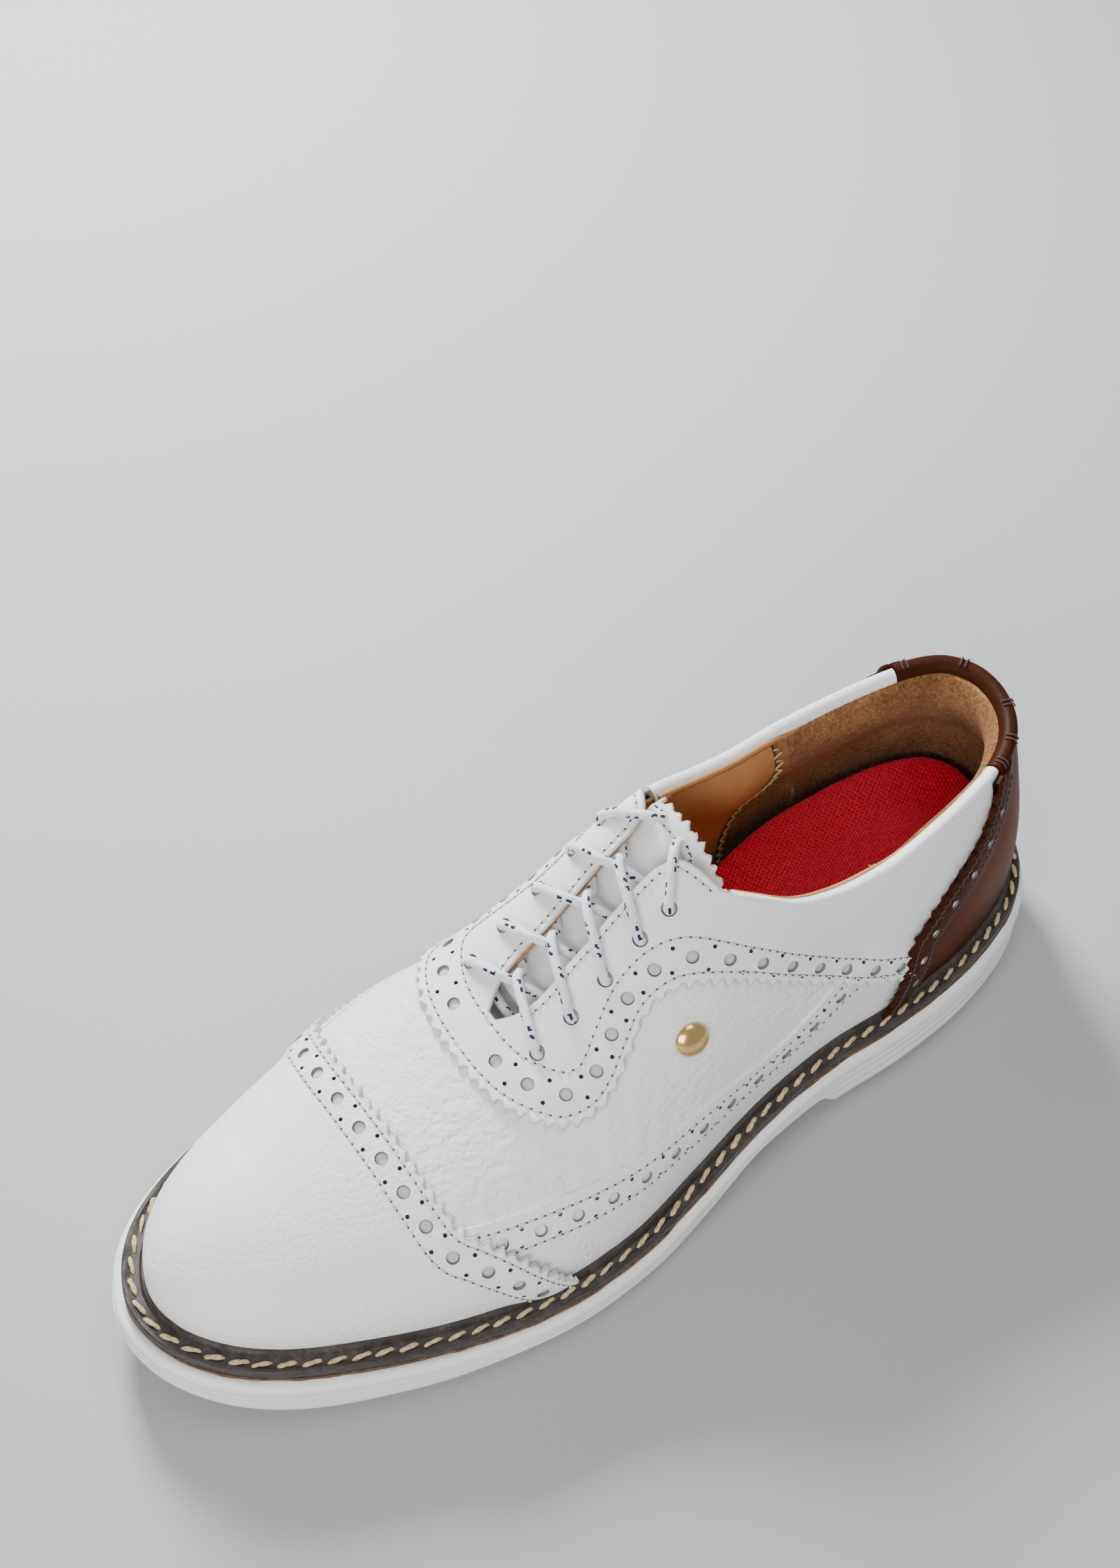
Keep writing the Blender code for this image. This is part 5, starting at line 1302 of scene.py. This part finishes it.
def build_linings():
    for side, word in ((1, "lateral"), (-1, "medial")):
        seam = rear_seam(side)
        rear = np.array([LAST.to_spine(v, q, side) for v, q in seam])
        foot = np.array([LAST.to_spine(v, 1, side) for v in np.linspace(REAR_V - 27, 121, 60)])
        half = 6.35
        throat = [(THROAT_X + side * 20, 121), (THROAT_X + side * 11, 117),
                  (THROAT_X + side * half, 120), (THROAT_X + side * half, FACING_TOP - 1)]
        corner = facing_corner(side)[1:] + np.array([side * 0.7, -0.7])
        top = topline(side, 178, REAR_V - 16, 0.6)
        holes = [((THROAT_X + side * EYELET_OFFSET, v), EYELET_RADIUS + 0.3) for v in EYELET_V]
        piece = panel("lining_" + word + "_leather",
                      join(foot, resample(np.array(throat, float), 2), corner, top, rear[::-1]),
                      spine_chart, quarter_lining, lambda pts: quarter_lining(pts) - 1.0, TAN,
                      holes, spacing=2.8, hole_depth=0.0)
        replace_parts(piece, "lining_" + word)
    lateral, medial = (np.array([(on_perimeter(v, side), q) for v, q in rear_seam(side)])
                       for side in (1, -1))
    lateral = offset_path(lateral, 1.0 if lateral[0][0] > 0 else -1.0)
    medial = offset_path(medial, -1.0)
    top = np.array([(p, LAST.topline_q(LAST.rib_at(p)) - 0.6)
                    for p in np.linspace(lateral[-1][0], medial[-1][0], 110)[1:-1]])
    base = np.array([(p, 1.0) for p in np.linspace(medial[0][0], lateral[0][0], 110)[1:-1]])
    piece = panel("heel_lining_suede", join(lateral, top, medial[::-1], base), perimeter_chart,
                  lambda pts: heel_lining(pts) + 0.35, lambda pts: heel_lining(pts) - 0.9, SUEDE,
                  spacing=2.4)
    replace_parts(piece, "heel_lining")
    build_zigzag(lateral, medial)


def build_zigzag(lateral, medial):
    """Gold zigzag stitching over the join of lining and suede."""
    rows = []
    for seam in (lateral, medial):
        fine = resample(seam, 1.9)
        normal = sideways(fine)
        for k in range(len(fine) - 1):
            sign = 1 if k % 2 else -1
            rows.append((perimeter_chart, np.array([fine[k] + normal[k] * 1.3 * sign,
                                                    fine[k + 1] - normal[k + 1] * 1.3 * sign]),
                         lambda pts: heel_lining(pts) - 1.45))
    stitches("lining_zigzag", rows, GOLD_THREAD, pitch=3.2, length=3.4, radius=0.32,
             needle=False)


def tongue_pattern(inset):
    left = [(THROAT_X - 15, 119), (THROAT_X - 19, 135), (THROAT_X - 22, 155),
            (THROAT_X - 22.5, 172)]
    right = [(THROAT_X + 15, 119), (THROAT_X + 19, 135), (THROAT_X + 23, 155),
             (THROAT_X + 25.5, 175)]
    top = pinked(np.array([(THROAT_X - 22.5, 172.5), (THROAT_X - 8, 173.5), (THROAT_X + 8, 175),
                           (THROAT_X + 25.5, 176)]), -1, depth=1.6, pitch=4.0)
    outline = join(spline(left, 8), top, spline(right, 8)[::-1])
    return offset_outline(outline, inset) if inset else outline


def tongue_face(pts):
    x, v = pts[:, 0] - THROAT_X, pts[:, 1]
    free = smooth_step(v, 158, 176)
    pad = 1 - smooth_step(np.abs(x), 9, 22)
    folds = 0.35 * np.sin(v * 0.42 + 0.03 * x) * (1 - free) * pad
    return -7.3 + 0.5 * pad + folds + 2.3 * free + 0.3 * np.sin(x * 0.25 + 1.0) * free


def build_tongue():
    top_line = resample(np.array([(THROAT_X + x, v) for x, v in
                                  ((-18.5, 168), (-7, 169), (8, 170.4), (21.5, 171.4))]), 1.0)
    sides = [np.array([(THROAT_X + s * x, v) for x, v in ((15, 125), (18, 140), (19, 168))])
             for s in (-1, 1)]
    lines = [top_line] + [spline(s, 8) for s in sides]
    piece = panel("tongue_leather", tongue_pattern(0), spine_chart, tongue_face,
                  lambda pts: tongue_face(pts) - 1.3, WHITE_SMOOTH, lines=lines, spacing=2.0,
                  body="tongue", edge_mat=CUT_EDGE_SHADE)
    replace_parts(piece, "tongue")
    stitches("tongue_stitches", [(spine_chart, line, tongue_face) for line in lines],
             WHITE_THREAD, body="tongue")
    foam = panel("tongue_padding", tongue_pattern(2.5), spine_chart,
                 lambda pts: tongue_face(pts) - 1.4,
                 lambda pts: tongue_face(pts) - 3.9, FOAM, spacing=3.2, body="tongue",
                 rounding=1.6)
    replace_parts(foam, "tongue_foam")
    back = panel("tongue_back_leather", tongue_pattern(0.9), spine_chart,
                 lambda pts: tongue_face(pts) - 4.0, lambda pts: tongue_face(pts) - 4.9, TAN,
                 body="tongue")
    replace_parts(back, "tongue_lining")


def build_tongue_root():
    """Leather under the front of the throat, where the tongue is sewn to the vamp."""
    outline = spline(np.array([(THROAT_X - 13, 118.7), (THROAT_X - 12, 108), (THROAT_X, 104),
                               (THROAT_X + 12, 108), (THROAT_X + 13, 118.7)], float), 8)

    def face(pts):
        return -6.6 - 0.13 * (pts[:, 1] - 104)
    panel("tongue_root", outline, spine_chart, face, lambda pts: face(pts) - 1.0, WHITE_SMOOTH)


def build_collar_padding():
    stations = np.linspace(on_perimeter(205, 1), on_perimeter(205, -1), 90)
    tops = np.array([LAST.topline_q(LAST.rib_at(p)) for p in stations])
    outline = join(np.column_stack([stations, tops - 4.5]),
                   np.column_stack([stations, tops - 20.0])[::-1])
    piece = panel("collar_padding", outline, perimeter_chart,
                  lambda pts: np.full(len(pts), -2.2), lambda pts: heel_lining(pts) + 0.45, FOAM,
                  spacing=3.2, rounding=0.8)
    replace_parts(piece, "collar_foam")


# ---- lace --------------------------------------------------------------------------------------
OVER_H, UNDER_H = 1.75, -5.1
STRAND_OVER = [(-12.3, 2.0), (-7.5, 2.3), (-2.5, 2.05), (0.3, 1.6), (2.0, 0.9), (3.5, -1.4),
               (4.3, -3.7), (8.0, UNDER_H)]
STRAND_UNDER = [(-12.3, 2.0), (-8.5, 2.3), (-6.0, 2.1), (-4.2, 0.7), (-2.2, -1.2),
                (0.0, -2.0), (2.2, -3.2), (4.3, -4.3), (8.0, UNDER_H)]


def eyelet_turn(k, side, rising):
    middle, half = (OVER_H + UNDER_H) / 2, (OVER_H - UNDER_H) / 2
    points = []
    for angle in (-50, 0, 50):
        reach = EYELET_OFFSET - 1.6 + 2.2 * math.cos(math.radians(angle))
        rise = middle + half * math.sin(math.radians(angle)) * 1.1
        points.append((side * reach, EYELET_V[k], rise))
    return points if rising else points[::-1]


def crossing(k, side, strand):
    points = []
    for reach, h in strand:
        share = (reach + EYELET_OFFSET) / (2 * EYELET_OFFSET)
        points.append((-side * reach, EYELET_V[k] + (EYELET_V[k + 1] - EYELET_V[k]) * share, h))
    return points


def climb(side):
    points = []
    for k in range(len(EYELET_V)):
        points += eyelet_turn(k, side, True)
        if k < len(EYELET_V) - 1:
            points += crossing(k, side, STRAND_OVER if side > 0 else STRAND_UNDER)
            side = -side
    v = EYELET_V[-1]
    return points + [(side * 12.5, v + 2.5, OVER_H), (side * 9.0, v + 5.0, OVER_H),
                     (side * 6.0, v + 7.3, 0.9), (side * 4.3, v + 9.0, -2.0),
                     (side * 5.5, v + 9.6, -4.9), (side * 10.0, v + 9.0, UNDER_H - 0.3)]


def build_lace():
    """Round braided lace: woven relief, and navy dashes in pairs along it."""
    bar = [(-9.0, EYELET_V[0] - 1.0, UNDER_H), (0.0, EYELET_V[0] - 1.5, UNDER_H),
           (9.0, EYELET_V[0] - 1.0, UNDER_H)]
    route = np.array(climb(-1)[::-1] + bar + climb(1))
    world = lifted(spine_chart, np.column_stack([route[:, 0] + THROAT_X, route[:, 1]]), route[:, 2])
    path = resample(spline(world, 14), LACE_STEP)
    along = np.gradient(path, axis=0)
    along /= np.linalg.norm(along, axis=1)[:, None]
    side = np.cross(along[0], (0, 0, 1.0))
    sections, turn = [], np.linspace(0, 2 * math.pi, LACE_SIDES, endpoint=False)
    for i, (point, t) in enumerate(zip(path, along)):
        side = side - t * (side @ t)
        side /= np.linalg.norm(side)
        up = np.cross(t, side)
        s = i * LACE_STEP
        a = np.abs(np.sin(turn * 4 + s * 2.6)) + np.abs(np.sin(turn * 4 - s * 2.6))
        r = LACE_RADIUS * (0.93 + 0.035 * a)
        sections.append(point + np.outer(r * np.cos(turn), side) + np.outer(r * np.sin(turn), up))
    marks = []
    for i in range(len(path) - 1):
        s = i * LACE_STEP
        for k in range(LACE_SIDES):
            around = (k / LACE_SIDES + s / 30.0) % 0.5
            dash = (s % 6.3) < 1.2 and 0.14 < around < 0.25
            other = 2.0 < (s % 6.3) < 3.2 and 0.20 < around < 0.31
            marks.append(1 if dash or other else 0)
    piece = sweep("shoe_lace", sections, [LACE, NAVY], closed=False, angle=70)
    values = marks + [0] * (len(piece.data.polygons) - len(marks))
    piece.data.polygons.foreach_set("material_index", values)
    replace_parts(piece, "lace")


# ---- welt and sole -----------------------------------------------------------------------------
def ring_path(step, inset=0.0):
    outline = offset_outline(WELT_OUTLINE, inset) if np.any(inset) else WELT_OUTLINE
    return resample(outline, step, closed=True)


def welt_edge(width):
    """Inset of the welt's outer edge, larger where the welt is wide."""
    return 0.2 + 1.2 * np.clip((width - 4.6) / 3.4, 0.0, 1.0)


def rough(seed, count, size):
    """A smooth random wander round a closed ring."""
    rng = np.random.default_rng(seed)
    base = rng.normal(size=count)
    spectrum = np.fft.rfft(base)
    cut = np.exp(-(np.arange(len(spectrum)) / (count * 0.16))**2)
    wave = np.fft.irfft(spectrum * cut, count)
    return wave / wave.std() * size


def build_welt():
    path = ring_path(1.3)
    inward = across_outline(path)
    width = through(FEATHER_INSET, path[:, 1])
    wander = [rough(k, len(path), 0.09) for k in range(16)]
    sections = []
    for i, (p, n, w) in enumerate(zip(path, inward, width)):
        edge = welt_edge(w)
        line = edge + 0.4 * (w - edge)
        profile = [(w + 1.5, -1.0), (w + 1.2, 1.0), (w + 0.6, 1.9), (w - 0.3, 2.2),
                   (w - 1.1, 1.9), (w - 1.6, 1.0), (w - 1.9, 0.35), (line + 0.35, 0.05),
                   (line - 0.35, 0.05), (edge + 1.6, 0.35), (edge + 1.1, 0.6),
                   (edge + 0.4, 0.6), (edge, 0.2), (edge - 0.1, -0.9), (edge + 0.05, -2.2),
                   (edge + 0.2, -2.9), (w + 1.5, -2.9)]
        ring = []
        for k, (inset, rise) in enumerate(profile):
            move = wander[k][i] if 1 <= k <= 14 else 0.0
            x, y = p + n * (inset + 0.5 * move)
            ring.append((x, y, welt_height(y) + rise + 0.8 * move))
        sections.append(ring)
    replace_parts(sweep("welt_strip", sections, WELT), "welt")
    runner = []
    edge = rough(31, len(path), 0.12)
    for p, n, e, w in zip(path, inward, edge, width):
        e = e - 0.1 + welt_edge(w)
        ring = []
        for inset, rise in ((0.2 + e, -2.95), (-0.1 + e, -3.2), (-0.1 + e, -3.75), (0.2 + e, -4.2),
                            (9.0, -4.9), (9.0, -2.95)):
            x, y = p + n * inset
            ring.append((x, y, welt_height(y) + rise))
        runner.append(ring)
    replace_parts(sweep("runner_strip", runner, RAW), "midsole_runner")
    build_welt_stitches()


def build_welt_stitches():
    """Thick two-ply stitches, each leaning a little across the welt's channel."""
    path = ring_path(0.5)
    width = through(FEATHER_INSET, path[:, 1])
    edge = welt_edge(width)
    path = resample(offset_outline(path, edge + 0.4 * (width - edge)), 0.5, True)
    inward = across_outline(path)
    total = len(path) * 0.5
    count = int(round(total / WELT_STITCH_PITCH))
    rings, around = 15, 12
    turn = np.linspace(0, 2 * math.pi, around, endpoint=False)
    rng = np.random.default_rng(5)
    verts, faces = [], []
    for s in np.arange(count) * total / count:
        i = int(s / 0.5) % len(path)
        ahead = path[(i + 4) % len(path)] - path[i - 4]
        ahead = ahead / np.linalg.norm(ahead)
        lean = ahead * math.cos(0.24) + inward[i] * math.sin(0.24)
        slope = float(welt_height(path[i, 1] + ahead[1]) - welt_height(path[i, 1] - ahead[1])) / 2
        centre = np.array([*path[i], float(welt_height(path[i, 1])) + 0.6])
        t = np.array([*lean, slope])
        t /= np.linalg.norm(t)
        b = np.cross(t, (0, 0, 1.0))
        b /= np.linalg.norm(b)
        up = np.cross(b, t)
        size = 1 + 0.08 * rng.normal()
        phase = rng.uniform(0, 2)
        start = len(verts)
        for r in np.linspace(-1, 1, rings):
            body = math.sqrt(max(1 - abs(r)**3.2, 0.02))
            twist = 2 * (turn - r * 2.6 - phase)
            radius = 0.68 * size * body * (0.72 + 0.34 * np.abs(np.cos(twist / 2)))
            middle = centre + t * (r * WELT_STITCH_HALF) - up * (0.7 * r**4)
            verts += list(middle + np.outer(radius * np.cos(turn), b)
                          + np.outer(radius * 0.85 * np.sin(turn), up))
        faces += tube_faces(start, rings, around)
    piece = make("welt_stitches", verts, faces, CREAM, angle=70)
    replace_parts(piece, "welt_thread")


def sole_underside(v):
    v = np.asarray(v, float)
    spring = TOE_SPRING * np.clip((45 - v) / 45, 0, 1.1)**2
    waist = WAIST_LIFT * smooth_step(v, 140, 172) * (1 - smooth_step(v, 194, 202))
    return LUG_HEIGHT + spring + waist + 3.0 * np.clip((v - 278) / 22, 0, 1.2)**2


def build_sole():
    """White sidewall: a flat ledge outside the welt, ridges round the toe, a flared heel."""
    path = ring_path(1.6)
    inward = across_outline(path)
    sections = []
    for p, n in zip(path, inward):
        v = p[1]
        low = float(sole_underside(v)) + OUTSOLE_THICK + GROUND_GAP
        high = float(welt_height(v)) - WELT_THICK - 0.85
        toe = float(1 - smooth_step(v, 55, 90))
        heel = float(smooth_step(v, 205, 228))
        tall = high - low
        edge = 0.1 + welt_edge(float(through(FEATHER_INSET, v)))
        ridge = 0.95 * toe + 0.3 * heel
        flare = 1.0 * toe
        profile = [(8.0, 0.93), (edge + 0.6, 0.93), (edge - 0.2, 1.0), (-0.4, 0.985),
                   (-1.0, 0.94), (-1.6, 0.88), (-1.8, 0.80), (-1.75, 0.74),
                   (-1.3 + ridge, 0.71), (-1.3 + ridge, 0.67), (-1.6 - 0.5 * flare, 0.63),
                   (-1.6 - 0.6 * flare, 0.53), (-1.3 - 0.4 * flare + ridge, 0.50),
                   (-1.3 - 0.5 * flare + ridge, 0.46), (-1.6 - 0.9 * flare, 0.42),
                   (-1.6 - 1.0 * flare, 0.31), (-1.3 - 0.8 * flare + ridge, 0.28),
                   (-1.3 - 0.8 * flare + ridge, 0.24), (-1.6 - 1.0 * flare, 0.20),
                   (-1.5 - 0.9 * flare, 0.08), (-0.4 - 0.5 * heel - 0.3 * flare, 0.0),
                   (8.0, 0.0)]
        ring = []
        for inset, share in profile:
            x, y = p + n * inset
            ring.append((x, y, low + tall * share))
        sections.append(ring)
    piece = sweep("sole_sidewall", sections, RUBBER, angle=50)
    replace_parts(piece, "midsole")
    build_sole_core()
    dress("outsole", RUBBER)


def build_sole_core():
    """Body of the sole inside its sidewall, from the outsole up to the midsole runner."""
    outline = ring_path(3.0, 6.0)
    verts = []
    for high in (0, 1):
        for x, y in outline:
            low = float(sole_underside(y)) + OUTSOLE_THICK + GROUND_GAP
            top = float(welt_height(y)) - WELT_THICK - RUNNER_THICK - 0.35
            verts.append((x, y, top - 0.05 if high else low + 0.05))
    n = len(outline)
    triangles = delaunay_2d_cdt([Vector(p) for p in outline],
                                [(k, (k + 1) % n) for k in range(n)], [], 1, 1e-5)[2]
    faces = [tuple(f[::-1]) for f in triangles] + [tuple(k + n for k in f) for f in triangles]
    faces += [(k, (k + 1) % n, (k + 1) % n + n, k + n) for k in range(n)]
    make("sole_core", verts, faces, RUBBER)


# ---- footbed, stud and hidden parts ------------------------------------------------------------
def footbed_rise(pts):
    v = pts[:, 1]
    edge = distance(pts, offset_outline(FEATHER, 8.3), closed=True)
    rim = 1 - smooth_step(edge, 0, 15)
    arch = smooth_step(v, 140, 175) * (1 - smooth_step(v, 205, 240))
    medial = smooth_step(through(SPINE_X, v) - pts[:, 0], 0, 10)
    return (8.0 * smooth_step(v, 115, 215) + 8.0 * smooth_step(v, 185, 235) * rim
            + 5.0 * arch * rim * medial)


def plan_chart(points):
    points = np.asarray(points, float)
    place = np.column_stack([points, welt_height(points[:, 1])])
    return place, np.tile((0.0, 0.0, 1.0), (len(points), 1))


def build_footbed():
    outline = offset_outline(FEATHER, 9.3)
    crown = lambda pts: 6.8 + footbed_rise(pts) + 0.35 * np.sin(pts[:, 1] * 0.06)
    cover = panel("footbed_knit", outline, plan_chart, crown, lambda pts: 5.55 + footbed_rise(pts),
                  RED, spacing=2.6, body="footbed", rounding=1.1)
    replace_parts(cover, "footbed_cover")
    base = panel("footbed_base", offset_outline(outline, 0.4), plan_chart,
                 lambda pts: 5.5 + footbed_rise(pts), lambda pts: np.full(len(pts), 1.9), FOAM,
                 spacing=4.0, body="footbed", rounding=0.8)
    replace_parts(base, "footbed_foam")


def build_stud():
    centre, normal = spine_chart(np.array([(59.0, 154.0)]))
    turn = Vector(normal[0]).to_track_quat("Z", "Y").to_matrix()
    profile = [(0.01, 2.45), (1.2, 2.4), (2.4, 2.2), (3.4, 1.85), (4.2, 1.35), (4.75, 0.85),
               (4.95, 0.5), (4.9, 0.2), (4.5, 0.05), (1.1, 0.05), (1.1, -3.0), (0.01, -3.0)]
    sections = []
    for a in np.linspace(0, 2 * math.pi, 48, endpoint=False):
        sections.append([np.array(turn @ Vector((r * math.cos(a), r * math.sin(a), z + 0.1)))
                         + centre[0] for r, z in profile])
    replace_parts(sweep("stud_head", sections, BRASS, angle=30), "stud")


def dress(node, material):
    """Gives a CAD node that stays its own material in place of the plain one."""
    for slot in bpy.data.objects[node].material_slots:
        slot.material = material


def dress_hidden():
    for node, material in (("vamp_lining", TAN), ("toe_puff", BOARD), ("heel_stiffener", BOARD),
                           ("lasting_board", BOARD), ("cork_filler", CORK), ("shank", STEEL),
                           ("stud_washer", STEEL)):
        dress(node, material)


# ---- stage -------------------------------------------------------------------------------------
AZIMUTH, ELEVATION = 0.96622, 0.90669                # direction of the camera, in radians
REACH, TARGET, LENS = 673.96, (-86.03, 43.09, 30.0), 49.735    # millimetres


def lamp(name, place, aim, size, power):
    light = bpy.data.lights.new(name, "AREA")
    light.shape = "RECTANGLE"
    light.size, light.size_y = size
    light.energy = power
    item = bpy.data.objects.new(name, light)
    item.location = place
    item.rotation_euler = (Vector(aim) - Vector(place)).to_track_quat("-Z", "Y").to_euler()
    bpy.context.scene.collection.objects.link(item)


def build_stage():
    mesh = bpy.data.meshes.new("floor")
    mesh.from_pydata([(-3, -3, -0.0002), (3, -3, -0.0002), (3, 3, -0.0002), (-3, 3, -0.0002)], [],
                     [(0, 1, 2, 3)])
    paint = Paint("floor_grey", (0.42, 0.43, 0.45), 0.9, Specular_IOR_Level=0.1)
    mesh.materials.append(paint.material)
    floor = bpy.data.objects.new("floor", mesh)
    bpy.context.scene.collection.objects.link(floor)
    world = bpy.data.worlds.new("studio")
    world.use_nodes = True
    sky = world.node_tree.nodes["Background"]
    sky.inputs["Color"].default_value = (1.0, 1.0, 1.0, 1)
    sky.inputs["Strength"].default_value = 0.42
    bpy.context.scene.world = world
    lamp("key", (-0.75, 0.15, 0.62), (0, 0.0, 0.04), (0.26, 0.26), 21.0)
    lamp("fill", (0.55, -0.75, 0.55), (0, 0, 0.04), (0.8, 0.6), 9.0)
    lamp("top", (0.1, 0.25, 1.1), (0, 0, 0.04), (0.5, 0.5), 3.0)

    direction = Vector((math.sin(AZIMUTH) * math.cos(ELEVATION),
                        -math.cos(AZIMUTH) * math.cos(ELEVATION), math.sin(ELEVATION)))
    data = bpy.data.cameras.new("camera")
    data.lens = LENS
    data.sensor_width = 36.0
    data.clip_start = 0.01
    camera = bpy.data.objects.new("camera", data)
    camera.location = Vector(TARGET) * MM + direction * REACH * MM
    camera.rotation_euler = (-direction).to_track_quat("-Z", "Y").to_euler()
    bpy.context.scene.collection.objects.link(camera)
    bpy.context.scene.camera = camera


build_upper()
build_collar()
build_linings()
build_collar_padding()
build_tongue()
build_tongue_root()
build_lace()
build_welt()
build_sole()
build_footbed()
build_stud()
dress_hidden()
build_stage()
